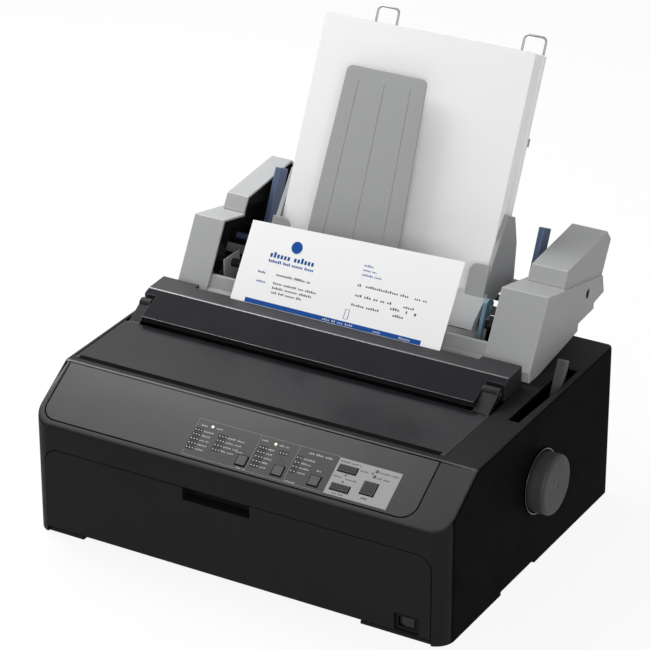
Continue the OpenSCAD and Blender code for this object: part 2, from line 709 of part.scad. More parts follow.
module print_head() color([0.2, 0.2, 0.22]) placed() {
  z0 = rail_z + 10;
  y1 = platen_y - platen_r - 19;
  box(path_x - 17, path_x + 17, rail_y - 7, y1, z0, z0 + 22);
  for (i = [0 : 5]) box(path_x - 19.5, path_x + 19.5, rail_y - 4 + i * 5, rail_y - 2 + i * 5,
    z0 + 2, z0 + 21);
  box(path_x - 9, path_x + 9, y1 - 1, y1 + 15.4, platen_z - 7, platen_z + 8);
}

module belt_loop(r, x0, x1) {
  for (x = [x0, x1]) translate([x, belt_y]) circle(r);
  translate([x0, belt_y - r]) square([x1 - x0, 2 * r]);
}
module drive_belt() color([0.08, 0.08, 0.08]) placed()
  translate([0, 0, belt_z]) linear_extrude(7) difference() {
    belt_loop(pulley_r + 1.5, pulley_x0, pulley_x1);
    belt_loop(pulley_r + 0.3, pulley_x0, pulley_x1);
  }

module pulley(x, bore) difference() {
  translate([x, belt_y, belt_z - 1]) {
    cylinder(h = 9, r = pulley_r);
    cylinder(h = 0.7, r = pulley_r + 1.2);
    translate([0, 0, 8.3]) cylinder(h = 0.7, r = pulley_r + 1.2);
  }
  translate([x, belt_y, belt_z - 3]) cylinder(h = 12.01, r = bore);
}
module idler_pulley() color([0.75, 0.75, 0.7]) placed() pulley(pulley_x1, 2 + run);
module motor_pulley() color([0.75, 0.65, 0.4]) placed() {
  pulley(pulley_x0, 2);
  translate([pulley_x0, belt_y, belt_z - 14]) cylinder(h = 22, r = 2);
}
module carriage_motor() color([0.45, 0.45, 0.47]) placed() {
  z0 = base_z + 1.6;
  z1 = belt_z - 3;
  difference() {
    union() {
      translate([pulley_x0, belt_y, z0]) cylinder(h = z1 - z0, r = 17);
      box(pulley_x0 - 18, pulley_x0 + 18, belt_y - 18, belt_y + 18, z1 - 2, z1);
    }
    translate([pulley_x0, belt_y, z1 - 12]) cylinder(h = 14, r = 2 + run);
  }
}

cart_x0 = frame_x0 + 18;
cart_x1 = frame_x1 - 18;
module ribbon_cartridge() color([0.08, 0.08, 0.09]) placed() {
  z0 = rail_z + 13;
  box(cart_x0, cart_x1, 68, 98, z0, z0 + 30);
  for (x = [cart_x0, cart_x1 - 14]) {
    box(x, x + 14, 97, 150, z0, z0 + 11);
    box(x, x + 14, 142, 152.6, platen_z - 8, z0 + 11);
  }
  box(frame_x0, cart_x0 + 1, 76, 90, z0 + 5, z0 + 15);
  box(cart_x1 - 1, frame_x1, 76, 90, z0 + 5, z0 + 15);
  // take-up knob moulded on top
  translate([cart_x0 + 34, 83, z0 + 29]) cylinder(h = 9, r = 9);
}
module ribbon() color([0.03, 0.03, 0.03]) placed() {
  y = platen_y - platen_r - 2.8;
  box(cart_x0 + 3, cart_x1 - 3, y, y + 0.4, platen_z - 6, platen_z + 7);
  for (x = [cart_x0 + 3, cart_x1 - 11]) box(x, x + 8, 152.6, y + 0.1, platen_z - 6,
    platen_z + 7);
}

module head_cable() color([0.8, 0.8, 0.78]) placed() {
  r = 12;
  x1 = path_x + 80;
  z0 = base_z + 1.6 + seat;
  translate([0, 72, 0]) {
    box(-120, x1, 0, 12, z0, z0 + 0.6);
    translate([x1, 12, z0 + r]) rotate([90, 0, 0]) linear_extrude(12) difference() {
      circle(r);
      circle(r - 0.6);
      translate([-2 * r, -2 * r]) square([2 * r, 4 * r]);
    }
    box(path_x, x1, 0, 12, z0 + 2 * r - 0.6, z0 + 2 * r);
    box(path_x, path_x + 0.6, 0, 12, z0 + 2 * r - 0.6, belt_z + 8.7);
    box(path_x, path_x + 20, 0, 12.2, belt_z + 8.1, belt_z + 8.7);
  }
}

module release_lever() color([0.3, 0.3, 0.29]) placed()
  translate([lever_x, lever_y, lever_z]) rotate([-26.5, 0, 0]) difference() {
    union() {
      box(-4.4, 4.4, -3, 3, -6, 59);
      rotate([0, 90, 0]) translate([0, 0, -4.4]) cylinder(h = 8.8, r = 6);
    }
    rotate([0, 90, 0]) translate([0, 0, -10]) cylinder(h = 20, r = lever_pin_r + run);
  }

board_z = base_z + 5.6;
board_x1 = 60;
board_y0 = 190;
board_y1 = case_d - 37;
module main_board() color([0.1, 0.32, 0.16]) placed() {
  box(frame_x0 + 5, board_x1, board_y0, board_y1, board_z, board_z + 1.6);
  for (x = [frame_x0 + 9, board_x1 - 4], y = [board_y0 + 4, board_y1 - 4])
    translate([x, y, base_z + 1.6]) cylinder(h = 4.1, r = 2.4);
  box(-60, -24, 214, 250, board_z + 1.5, board_z + 5);
  box(-120, -88, 210, 224, board_z + 1.5, board_z + 5);
  box(4, 50, 250, 262, board_z + 1.5, board_z + 14);
  for (i = [0 : 3]) translate([-10 + 14 * i, 206, board_z + 1.5]) cylinder(h = 16, r = 5);
}
module power_supply() color([0.6, 0.6, 0.62]) placed()
  box(board_x1 + 6, frame_x1 - 8, board_y0, board_y1, base_z + 1.6, platen_z - platen_r - 6);

module power_inlet() color([0.06, 0.06, 0.06]) placed() {
  difference() {
    union() {
      box(inlet_x - inlet_w / 2, inlet_x + inlet_w / 2, case_d - 26, case_d, inlet_z,
        inlet_z + inlet_h);
      box(inlet_x - inlet_w / 2 - 3, inlet_x + inlet_w / 2 + 3, case_d - wall - 3,
        case_d - wall, inlet_z - 2, inlet_z + inlet_h + 2);
    }
    box(inlet_x - 12, inlet_x + 12, case_d - 17, case_d + 1, inlet_z + 2, inlet_z + 18);
  }
  for (x = [-7, 0, 7]) box(inlet_x + x - 1, inlet_x + x + 1, case_d - 18, case_d - 9,
    inlet_z + 8 + (x == 0 ? 3 : 0), inlet_z + 12 + (x == 0 ? 3 : 0));
}
module interface_socket() color([0.5, 0.5, 0.52]) placed() {
  difference() {
    union() {
      box(port_x - port_w / 2, port_x + port_w / 2, case_d - 30, case_d, port_z,
        port_z + port_h);
      box(port_x - port_w / 2 + 3, port_x + port_w / 2 - 3, board_y1 - 13, board_y1 + 12,
        board_z + 1.6, port_z + 1);
    }
    box(port_x - port_w / 2 + 4, port_x + port_w / 2 - 4, case_d - 9, case_d + 1, port_z + 3,
      port_z + port_h - 3);
    box(port_x - port_w / 2 - 1, port_x + port_w / 2 + 1, board_y0, board_y1, 0, board_z + 1.6);
  }
}

// cut-sheet feeder

// move a closed outline inwards by d
function unit(v) = v / norm(v);
function inset(p, d) = [for (i = [0 : len(p) - 1])
  let (n = len(p), u = unit(p[i] - p[(i + n - 1) % n]), v = unit(p[(i + 1) % n] - p[i]),
    a = [-u[1], u[0]], b = [-v[1], v[0]]) p[i] + (a + b) * d / (1 + a * b)];
side_y = exit_y1 + 6.5;
side_z = top_z(side_y + 20) + seat;
function side_low() = [for (p = [[0, 0], [18, 0], [88, 9], [96, 10], [97, 17], [129, 19],
  [128.5, 24.5], [149.5, 27.5], [146, 45.2], [34, 69], [0, 10]]) [side_y, side_z] + p];
function side_up() = [for (p = [[67, 54], [136, 40], [147, 42], [165, 74], [157, 84.1],
  [76.6, 76.4], [69, 64.5]]) [side_y, side_z] + p];

rod_up = 58;
rod_y = lean_y(stack_t + 7.9, rod_up);
rod_z = lean_z(stack_t + 7.9, rod_up);
rod_r = 3;
bar_y = lean_y(50, 70);
bar_z = lean_z(50, 70);

// housing between x0 and x1, open towards its inner face; s is 1 on the right
module housing(x0, x1, s, u0, u1) {
  c0 = s > 0 ? x0 - 1 : x0 + feed_wall;
  c1 = s > 0 ? x1 - feed_wall : x1 + 1;
  inner = s > 0 ? x0 : x1;
  difference() {
    union() {
      prism_x(x0, x1, side_low());
      prism_x(u0, u1, side_up());
    }
    prism_x(c0, c1, inset(side_low(), feed_wall));
    prism_x(u0 + feed_wall, s > 0 ? u1 - feed_wall : c1, inset(side_up(), feed_wall));
    // idler wheels reach up through the open floor
    if (s < 0) {
      box(x0 + feed_wall, x1 + 1, side_y + feed_wall, side_y + 60, side_z - 1, side_z + 10);
      box(gear_x0 - 1, gear_x0 + gear_t + 1, side_y - 1, side_y + 60, side_z - 1, side_z + 12);
    }
  }
  difference() {
    union() {
      // bearing of the pick-up shaft
      intersection() {
        prism_x(min(inner, inner + s * 2), max(inner, inner + s * 2), side_low());
        box(-half_w, half_w, pick_y - 16, pick_y + 12, side_z, pick_z + 9);
      }
      // bearing of the set lever rod
      cyl_x(s > 0 ? x1 - feed_wall - 5 : x0 + feed_wall - 1,
        s > 0 ? x1 - feed_wall + 1 : x0 + feed_wall + 5, rod_y, rod_z, rod_r + 2.4);
    }
    cyl_x(-half_w, half_w, pick_y, pick_z, pick_shaft_r + run);
    cyl_x(s > 0 ? x1 - feed_wall - 8 : x0 + feed_wall, s > 0 ? x1 - feed_wall : x0 + 12,
      rod_y, rod_z, rod_r + run);
  }
}
module feeder_left_side() color([0.68, 0.68, 0.70]) placed()
  housing(left_out, left_in, -1, left_out + 9, left_in);
module feeder_right_side() color([0.55, 0.55, 0.57]) placed()
  difference() {
    housing(right_in, right_out, 1, right_in + 8, right_out - 2.4);
    // finger hole for unhooking the feeder
    cyl_x(right_out - feed_wall - 1, right_out + 1, side_y + 116, side_z + 39, 4.7);
  }

module feeder_crossbar() color([0.58, 0.58, 0.60]) placed() {
  y = side_y + 4.5;
  z = side_z + 14.3;
  prism_x(left_in, right_in, [[y - 3.5, side_z + 2], [y, side_z + 2], [y, z - 2],
    [y + 9, z + 6], [y + 9, z + 9.5], [y + 6, z + 9.5], [y - 0.5, z - 1], [y - 3.5, z - 3]]);
  // arm that carries the stacker plate
  prism_x(path_x - 42, path_x - 6, [[y + 9, z + 6], [lean_y(plate_y0, 49), lean_z(plate_y0, 49)],
    [lean_y(plate_y0, 53), lean_z(plate_y0, 53)], [y + 9, z + 9.5]]);
}

plate_y0 = -16;
plate_t = 2;
plate_top = 236;
plate_bot = 49;
module stacker_plate() color([0.6, 0.6, 0.61]) placed() leaned()
  translate([0, plate_y0 + plate_t, 0]) rotate([90, 0, 0]) difference() {
    linear_extrude(plate_t) {
      polygon([[-71.9, plate_bot], [25.2, plate_bot], [16.5, plate_top - 6],
        [-66, plate_top - 6]]);
      for (x = [-60, 10.5]) translate([x, plate_top - 6]) circle(6);
      translate([-60, plate_top - 7]) square([70.5, 7]);
    }
    for (f = [0.18, 0.5, 0.82]) translate([0, 0, plate_t - 0.5]) linear_extrude(1)
      polygon([for (p = [[-0.4, 55], [0.4, 55], [0.4, plate_top - 12], [-0.4, plate_top - 12]])
        [p[0] - 66 - 6 * (plate_top - p[1]) / 180 + f * (82.5 + 14.7 * (plate_top - p[1]) / 180),
         p[1]]]);
  }

hop_w = paper_w / 2 - 2;
hop_y = stack_t + seat;
hop_t = 2.4;
hop_top = 215;
holder_z = [120, 196];
module hopper_plate() color([0.5, 0.5, 0.52]) placed() {
  leaned() difference() {
    union() {
      box(-hop_w, hop_w, hop_y, hop_y + hop_t, -4, hop_top);
      box(-hop_w, hop_w, -3, hop_y + hop_t, -4, -seat);
      for (x = [wire_left_x, wire_right_x], z = holder_z)
        box(x - wire_w / 2 - 3, x + wire_w / 2 + 3, hop_y + hop_t, wire_off + wire_r + 2,
          z, z + 8);
    }
    for (x = [wire_left_x, wire_right_x], s = [-1, 1], z = holder_z)
      translate([x + s * (wire_w / 2 - wire_r), wire_off, z - 1])
        cylinder(h = 10, r = wire_r + run);
  }
  // bar that hangs the plate between the housings
  leaned() box(left_out + feed_wall - path_x, right_out - feed_wall - path_x, hop_y,
    hop_y + hop_t, 41.5, 50);
}

module paper_stack() color([0.93, 0.93, 0.94]) placed() leaned()
  box(-paper_w / 2, paper_w / 2, 0, stack_t, 0, paper_l);

// page on its way out between the roller and the exit cover
module printed_page() color([0.96, 0.96, 0.97]) placed() {
  y0 = platen_y - platen_r - 0.4 - page_t;
  line = [[y0, platen_z - 3], [y0, platen_z + 6], [page_y, exit_z1 + 0.4],
    [page_y + 43, exit_z1 + 64]];
  prism_x(path_x - paper_w / 2, path_x + paper_w / 2, [for (p = line) p,
    for (i = [3 : -1 : 0]) line[i] + [page_t, 0]]);
}

module guide_shaft() color([0.75, 0.76, 0.78]) placed()
  cyl_x(left_out + feed_wall, right_out - feed_wall, bar_y, bar_z, guide_shaft_r);

module pickup_shaft() color([0.7, 0.7, 0.72]) placed() {
  cyl_x(gear_x0, right_in + 8, pick_y, pick_z, pick_shaft_r);
  gear(gear_x0, pick_y, pick_z, PICK_TEETH, gap_at(train_a + 180, PICK_TEETH),
    pick_shaft_r - 0.5);
}
module pickup_rollers() color([0.12, 0.12, 0.12]) placed()
  for (s = [-1, 1]) {
    x = path_x + s * (paper_w / 2 - 12.95);
    difference() {
      cyl_x(x - 9, x + 9, pick_y, pick_z, pick_r);
      cyl_x(x - 10, x + 10, pick_y, pick_z, pick_shaft_r);
    }
  }

// sheet guide at the right edge of the stack, in the stack frame
fin_x = paper_w / 2 + 0.5;
fin_t = 4;
lock_y = -10;
lock_z = 50;
lock_x = fin_x + fin_t + 6.7;
lock_t = 3.4;
module sheet_guide() {
  hood = [[-26.3, 27], [-1.5, 27], [-1.5, 60], [-6, 60], [-14.3, 50.9], [-24.2, 34.2]];
  shell = [[-26.3, 27], [-23.6, 27], [-21.6, 33.6], [-12.8, 48.6], [-5, 56.6], [-1.5, 56.6],
    [-1.5, 60], [-6, 60], [-14.3, 50.9], [-24.2, 34.2]];
  difference() {
    union() {
      prism_x(fin_x, fin_x + fin_t, [[-8, 56], [20, 57], [24, 63], [51, 66], [51, 72], [38.2, 110.3],
        [23.2, 132.5], [6.2, 132.5], [-7.3, 70]]);
      translate([0, 0.5, 0]) prism_x(fin_x - 28, fin_x + fin_t, shell);
      translate([0, 0.5, 0]) prism_x(fin_x + fin_t, fin_x + fin_t + 3, hood);
      translate([0, 0.5, 0]) prism_x(fin_x + fin_t - 1, fin_x + fin_t + 1, hood);
      // plate that holds the corners of the sheets
      translate([0, -7, 0]) rotate([90, 0, 0]) linear_extrude(2) {
        translate([fin_x - 15, 56]) square([15 + fin_t, 22]);
        translate([fin_x - 7, 56]) square([7 + fin_t, 30]);
        translate([fin_x - 7, 78]) circle(8);
      }
      cyl_x(fin_x - 0, fin_x + 14, 50, 70, guide_shaft_r + 3);
      translate([0, 0.5, 0]) cyl_x(fin_x + fin_t + 2, lock_x + lock_t + 0.2, lock_y, lock_z, 2);
    }
    cyl_x(fin_x - 10, fin_x + 40, 50, 70, guide_shaft_r + run);
    cyl_x(fin_x - 40, fin_x + 40, pick_off, pick_up, pick_shaft_r + 1);
  }
}
module right_sheet_guide() color([0.6, 0.6, 0.62]) placed() leaned() sheet_guide();
module left_sheet_guide() color([0.6, 0.6, 0.62]) placed() leaned() mirror([1, 0, 0])
  sheet_guide();

module lock_lever() difference() {
  prism_x(lock_x, lock_x + lock_t, [[-20, 53.5], [-20.5, 32.5], [-19, 19.5], [-14.6, 19],
    [-14.6, 39.5], [-6, 44], [-5, 55], [-9, 57.5], [-16, 57.5]]);
  translate([0, 0.5, 0]) cyl_x(lock_x - 1, lock_x + lock_t + 1, lock_y, lock_z, 2 + run);
}
module right_lock_lever() color([0.35, 0.45, 0.55]) placed() leaned() lock_lever();
module left_lock_lever() color([0.35, 0.45, 0.55]) placed() leaned() mirror([1, 0, 0])
  lock_lever();

set_w = 5.5;
module set_levers() color([0.33, 0.42, 0.53]) placed() {
  cyl_x(left_out + feed_wall + 0.3, right_out - feed_wall - 0.3, rod_y, rod_z, rod_r);
  leaned() for (x = [-feed_w / 2 + 4.5, feed_w / 2 - 0.8 - set_w]) {
    box(x, x + set_w, stack_t + 3.6, stack_t + 15, rod_up - 6, 129);
    box(x, x + set_w, stack_t - 1, stack_t + 15, 60, 129);
  }
}

module wire_support(x) {
  e = wire_w / 2 - wire_r;
  for (s = [-1, 1]) translate([x + s * e, wire_off, wire_top - wire_l])
    cylinder(h = wire_l, r = wire_r, $fn = 24);
  for (z = [wire_top - wire_l, wire_top]) {
    translate([0, wire_off, z]) rotate([0, 90, 0]) translate([0, 0, x - e])
      cylinder(h = 2 * e, r = wire_r, $fn = 24);
    for (s = [-1, 1]) translate([x + s * e, wire_off, z]) sphere(wire_r, $fn = 24);
  }
}
module left_wire_support() color([0.7, 0.7, 0.72]) placed() leaned()
  wire_support(wire_left_x);
module right_wire_support() color([0.7, 0.7, 0.72]) placed() leaned()
  wire_support(wire_right_x);

lower_case();
upper_case();
rubber_feet();
case_screws();
front_cover();
lid();
exit_cover();
control_panel();
panel_board();
indicator_lenses();
font_button();
pitch_button();
tear_off_button();
load_button();
feed_button();
pause_button();
switch_housing();
power_rocker();
chassis();
carriage_rail();
paper_guide();
platen_roller();
platen_shaft();
platen_gear();
feed_knob();
feed_motor();
motor_pinion();
lower_idler();
upper_idler();
carriage();
print_head();
drive_belt();
motor_pulley();
idler_pulley();
carriage_motor();
ribbon_cartridge();
ribbon();
release_lever();
head_cable();
main_board();
power_supply();
power_inlet();
interface_socket();
feeder_left_side();
feeder_right_side();
feeder_crossbar();
hopper_plate();
stacker_plate();
guide_shaft();
pickup_shaft();
pickup_rollers();
left_sheet_guide();
right_sheet_guide();
left_lock_lever();
right_lock_lever();
set_levers();
left_wire_support();
right_wire_support();
paper_stack();
printed_page();
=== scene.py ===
import json
import math

import bmesh
import bpy
import numpy as np
from mathutils import Matrix, Vector


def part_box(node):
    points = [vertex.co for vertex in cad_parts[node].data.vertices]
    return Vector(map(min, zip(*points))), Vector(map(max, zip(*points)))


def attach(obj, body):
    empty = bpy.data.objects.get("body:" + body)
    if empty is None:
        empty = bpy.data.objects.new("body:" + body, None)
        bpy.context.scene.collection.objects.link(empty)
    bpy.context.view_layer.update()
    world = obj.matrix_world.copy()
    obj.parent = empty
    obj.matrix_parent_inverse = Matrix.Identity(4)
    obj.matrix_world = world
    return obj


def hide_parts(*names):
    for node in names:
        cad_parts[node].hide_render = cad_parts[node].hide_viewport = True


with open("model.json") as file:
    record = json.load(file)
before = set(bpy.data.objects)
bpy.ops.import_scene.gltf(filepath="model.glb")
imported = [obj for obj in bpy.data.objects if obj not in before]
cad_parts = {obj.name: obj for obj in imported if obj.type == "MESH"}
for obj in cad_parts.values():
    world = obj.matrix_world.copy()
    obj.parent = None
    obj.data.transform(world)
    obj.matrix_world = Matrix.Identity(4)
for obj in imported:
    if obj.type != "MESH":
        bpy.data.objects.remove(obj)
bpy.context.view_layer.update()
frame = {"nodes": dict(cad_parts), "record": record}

# places: drawing millimetres (x from the case middle, y from its front face) to metres
mm = 0.001
caseLo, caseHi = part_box("upper_case")
shift = np.array([(caseLo.x + caseHi.x) / 2, caseLo.y, 0.0])
halfWidth = (caseHi.x - caseLo.x) / 2 / mm
shell = dict(frontHeight=109.5, bevelDepth=57.0, shoulder=145.7, rear=149.6, depth=320.0,
             frontCorner=18.0, rearCorner=10.0)
bevelAngle = math.atan2(shell["shoulder"] - shell["frontHeight"], shell["bevelDepth"])
topSlope = (shell["rear"] - shell["shoulder"]) / (shell["depth"] - shell["bevelDepth"])
lean = math.radians(24.95)
stackOrigin = np.array([-14.5, 255.5, 133.8])


def toFrame(points):
    # metres = millimetres / 1000 + the drawing's origin in the frame
    return np.asarray(points, float) * mm + shift


def onBevel(x, s, h):
    # a point s up the sloping panel and h off it
    x, s, h = np.broadcast_arrays(x, s, h)
    y = s * math.cos(bevelAngle) - h * math.sin(bevelAngle)
    z = shell["frontHeight"] + s * math.sin(bevelAngle) + h * math.cos(bevelAngle)
    return np.stack([x, y, z], -1)


def inStack(x, y, z):
    # a point in the leaning frame of the paper stack: x across, y back, z up the sheets
    x, y, z = np.broadcast_arrays(x, y, z)
    yy = stackOrigin[1] + y * math.cos(lean) + z * math.sin(lean)
    zz = stackOrigin[2] - y * math.sin(lean) + z * math.cos(lean)
    return np.stack([stackOrigin[0] + x, yy, zz], -1)


# what each CAD node rides on, and the finish that the record gives it
bodyOf = {n: b for b, nodes in frame["record"]["behaviour"]["bodies"].items() for n in nodes}
slotOf = {p["node"]: p["material_slot"] for p in frame["record"]["subparts"]}


def camel(text):
    # a node's name in the form of a piece's name
    words = text.split("_")
    return words[0] + "".join(w.capitalize() for w in words[1:])


# shader node groups
def newGroup(name, inputs, outputs):
    # inputs hold a kind and a starting value, outputs a kind
    group = bpy.data.node_groups.new(name, "ShaderNodeTree")
    kinds = {"color": "NodeSocketColor", "value": "NodeSocketFloat"}
    for label, (kind, default) in inputs.items():
        socket = group.interface.new_socket(name=label, in_out="INPUT", socket_type=kinds[kind])
        socket.default_value = default
    for label, kind in outputs.items():
        group.interface.new_socket(name=label, in_out="OUTPUT", socket_type=kinds[kind])
    return group, group.nodes.new("NodeGroupInput"), group.nodes.new("NodeGroupOutput")


class Tree:
    # short hand for adding and joining nodes
    def __init__(self, tree):
        self.tree = tree

    def put(self, value, socket):
        if isinstance(value, bpy.types.NodeSocket):
            self.tree.links.new(value, socket)
        elif value is not None:
            socket.default_value = value

    def math(self, operation, a, b=None, c=None, clamp=False):
        node = self.tree.nodes.new("ShaderNodeMath")
        node.operation = operation
        node.use_clamp = clamp
        for i, v in enumerate((a, b, c)):
            self.put(v, node.inputs[i])
        return node.outputs[0]

    def noise(self, vector, scale, detail=2.0, rough=0.5):
        node = self.tree.nodes.new("ShaderNodeTexNoise")
        self.put(vector, node.inputs["Vector"])
        self.put(scale, node.inputs["Scale"])
        node.inputs["Detail"].default_value = detail
        node.inputs["Roughness"].default_value = rough
        return node.outputs["Fac"]

    def objectPlace(self, scale=(1, 1, 1)):
        place = self.tree.nodes.new("ShaderNodeTexCoord")
        mapping = self.tree.nodes.new("ShaderNodeMapping")
        self.tree.links.new(place.outputs["Object"], mapping.inputs["Vector"])
        mapping.inputs["Scale"].default_value = scale
        return mapping.outputs["Vector"]

    def ramp(self, value, low, high, a=0.0, b=1.0):
        node = self.tree.nodes.new("ShaderNodeMapRange")
        for i, v in enumerate((value, low, high, a, b)):
            self.put(v, node.inputs[i])
        return node.outputs[0]

    def mix(self, factor, a, b):
        node = self.tree.nodes.new("ShaderNodeMix")
        node.data_type = "RGBA"
        self.put(factor, node.inputs["Factor"])
        self.put(a, node.inputs["A"])
        self.put(b, node.inputs["B"])
        return node.outputs["Result"]


def buildMouldedGrain():
    # fine pebbled grain, slow cloudiness in the colour, and handling marks in the gloss
    group, inp, out = newGroup("mouldedGrain", {
        "Color": ("color", (0.1, 0.1, 0.1, 1)), "Clouding": ("value", 0.08),
        "Grain Scale": ("value", 1600.0), "Roughness": ("value", 0.5),
        "Smudge": ("value", 0.1)}, {"Color": "color", "Roughness": "value", "Height": "value"})
    t = Tree(group)
    place = t.objectPlace()
    clouds = t.noise(place, 9.0, 3.0)
    fine = t.noise(place, inp.outputs["Grain Scale"], 1.0)
    mid = t.noise(place, 220.0, 3.0)
    gain = t.math("MULTIPLY_ADD", t.math("SUBTRACT", clouds, 0.5), inp.outputs["Clouding"], 1.0)
    gain = t.math("MULTIPLY_ADD", t.math("SUBTRACT", mid, 0.5),
                  t.math("MULTIPLY", inp.outputs["Clouding"], 0.6), gain)
    hsv = group.nodes.new("ShaderNodeHueSaturation")
    t.put(inp.outputs["Color"], hsv.inputs["Color"])
    t.put(gain, hsv.inputs["Value"])
    marks = t.ramp(t.noise(place, 26.0, 5.0, 0.65), 0.45, 0.75, 0.0, 1.0)
    rough = t.math("MULTIPLY_ADD", marks, inp.outputs["Smudge"], inp.outputs["Roughness"])
    group.links.new(hsv.outputs["Color"], out.inputs["Color"])
    group.links.new(t.math("MULTIPLY_ADD", t.math("SUBTRACT", fine, 0.5), 0.06, rough, True),
                    out.inputs["Roughness"])
    group.links.new(t.math("MULTIPLY_ADD", mid, 0.15, fine), out.inputs["Height"])
    return group


def buildEdgeRubAndHighlight():
    # the paler tone of a rubbed edge together with a painted highlight along it, broken up by noise
    group, inp, out = newGroup("edgeRubAndHighlight", {
        "Color": ("color", (0.1, 0.1, 0.1, 1)), "Worn": ("color", (0.4, 0.4, 0.4, 1)),
        "Amount": ("value", 0.5)}, {"Color": "color"})
    t = Tree(group)
    broken = t.ramp(t.noise(t.objectPlace(), 140.0, 4.0, 0.6), 0.35, 0.65, 0.6, 1.0)
    mask = t.math("MULTIPLY", broken, inp.outputs["Amount"], None, True)
    group.links.new(t.mix(mask, inp.outputs["Color"], inp.outputs["Worn"]), out.inputs["Color"])
    return group


def buildDust():
    # a thin pale film on faces that look up
    group, inp, out = newGroup("dust", {
        "Color": ("color", (0.1, 0.1, 0.1, 1)), "Film": ("color", (0.5, 0.5, 0.5, 1)),
        "Amount": ("value", 0.04)}, {"Color": "color"})
    t = Tree(group)
    geometry = group.nodes.new("ShaderNodeNewGeometry")
    parts = group.nodes.new("ShaderNodeSeparateXYZ")
    group.links.new(geometry.outputs["Normal"], parts.inputs["Vector"])
    up = t.ramp(parts.outputs["Z"], 0.2, 1.0)
    patchy = t.ramp(t.noise(t.objectPlace(), 60.0, 6.0, 0.7), 0.4, 0.75, 0.2, 1.0)
    film = t.math("MULTIPLY", t.math("MULTIPLY", up, patchy), inp.outputs["Amount"], None, True)
    group.links.new(t.mix(film, inp.outputs["Color"], inp.outputs["Film"]), out.inputs["Color"])
    return group


def buildBrushed():
    # fine lines along x, as on drawn or ground steel
    group, inp, out = newGroup("brushedLines", {
        "Color": ("color", (0.6, 0.6, 0.6, 1)), "Roughness": ("value", 0.3),
        "Clouding": ("value", 0.15)}, {"Color": "color", "Roughness": "value", "Height": "value"})
    t = Tree(group)
    lines = t.noise(t.objectPlace(scale=(30, 1800, 1800)), 1.0, 3.0, 0.6)
    clouds = t.noise(t.objectPlace(), 18.0, 3.0)
    hsv = group.nodes.new("ShaderNodeHueSaturation")
    t.put(inp.outputs["Color"], hsv.inputs["Color"])
    t.put(t.math("MULTIPLY_ADD", t.math("SUBTRACT", clouds, 0.5), inp.outputs["Clouding"], 1.0),
          hsv.inputs["Value"])
    group.links.new(hsv.outputs["Color"], out.inputs["Color"])
    group.links.new(t.math("MULTIPLY_ADD", t.math("SUBTRACT", lines, 0.5), 0.2,
                           inp.outputs["Roughness"], True), out.inputs["Roughness"])
    group.links.new(lines, out.inputs["Height"])
    return group


def buildPaperFibre():
    # felted fibres and a faint unevenness of the white
    group, inp, out = newGroup("paperFibre", {
        "Color": ("color", (0.9, 0.9, 0.9, 1)), "Fleck": ("value", 0.03)},
        {"Color": "color", "Roughness": "value", "Height": "value"})
    t = Tree(group)
    fibres = t.noise(t.objectPlace(scale=(1, 0.35, 1)), 900.0, 5.0, 0.7)
    clouds = t.noise(t.objectPlace(), 35.0, 2.0)
    both = t.math("ADD", t.math("SUBTRACT", fibres, 0.5), t.math("SUBTRACT", clouds, 0.5))
    hsv = group.nodes.new("ShaderNodeHueSaturation")
    t.put(inp.outputs["Color"], hsv.inputs["Color"])
    t.put(t.math("MULTIPLY_ADD", both, inp.outputs["Fleck"], 1.0), hsv.inputs["Value"])
    group.links.new(hsv.outputs["Color"], out.inputs["Color"])
    group.links.new(t.ramp(fibres, 0.3, 0.7, 0.75, 0.92), out.inputs["Roughness"])
    group.links.new(fibres, out.inputs["Height"])
    return group


groups = dict(grain=buildMouldedGrain(), wear=buildEdgeRubAndHighlight(), dust=buildDust(),
              brushed=buildBrushed(), fibre=buildPaperFibre())


def grey(level, warm=0.0):
    # screen level 0-255 to a linear colour, with a slight warm or cool cast
    v = (level / 255.0) ** 2.2
    return (v * (1 + warm), v, v * (1 - warm), 1.0)


def screen(r, g, b):
    return tuple((c / 255.0) ** 2.2 for c in (r, g, b)) + (1.0,)


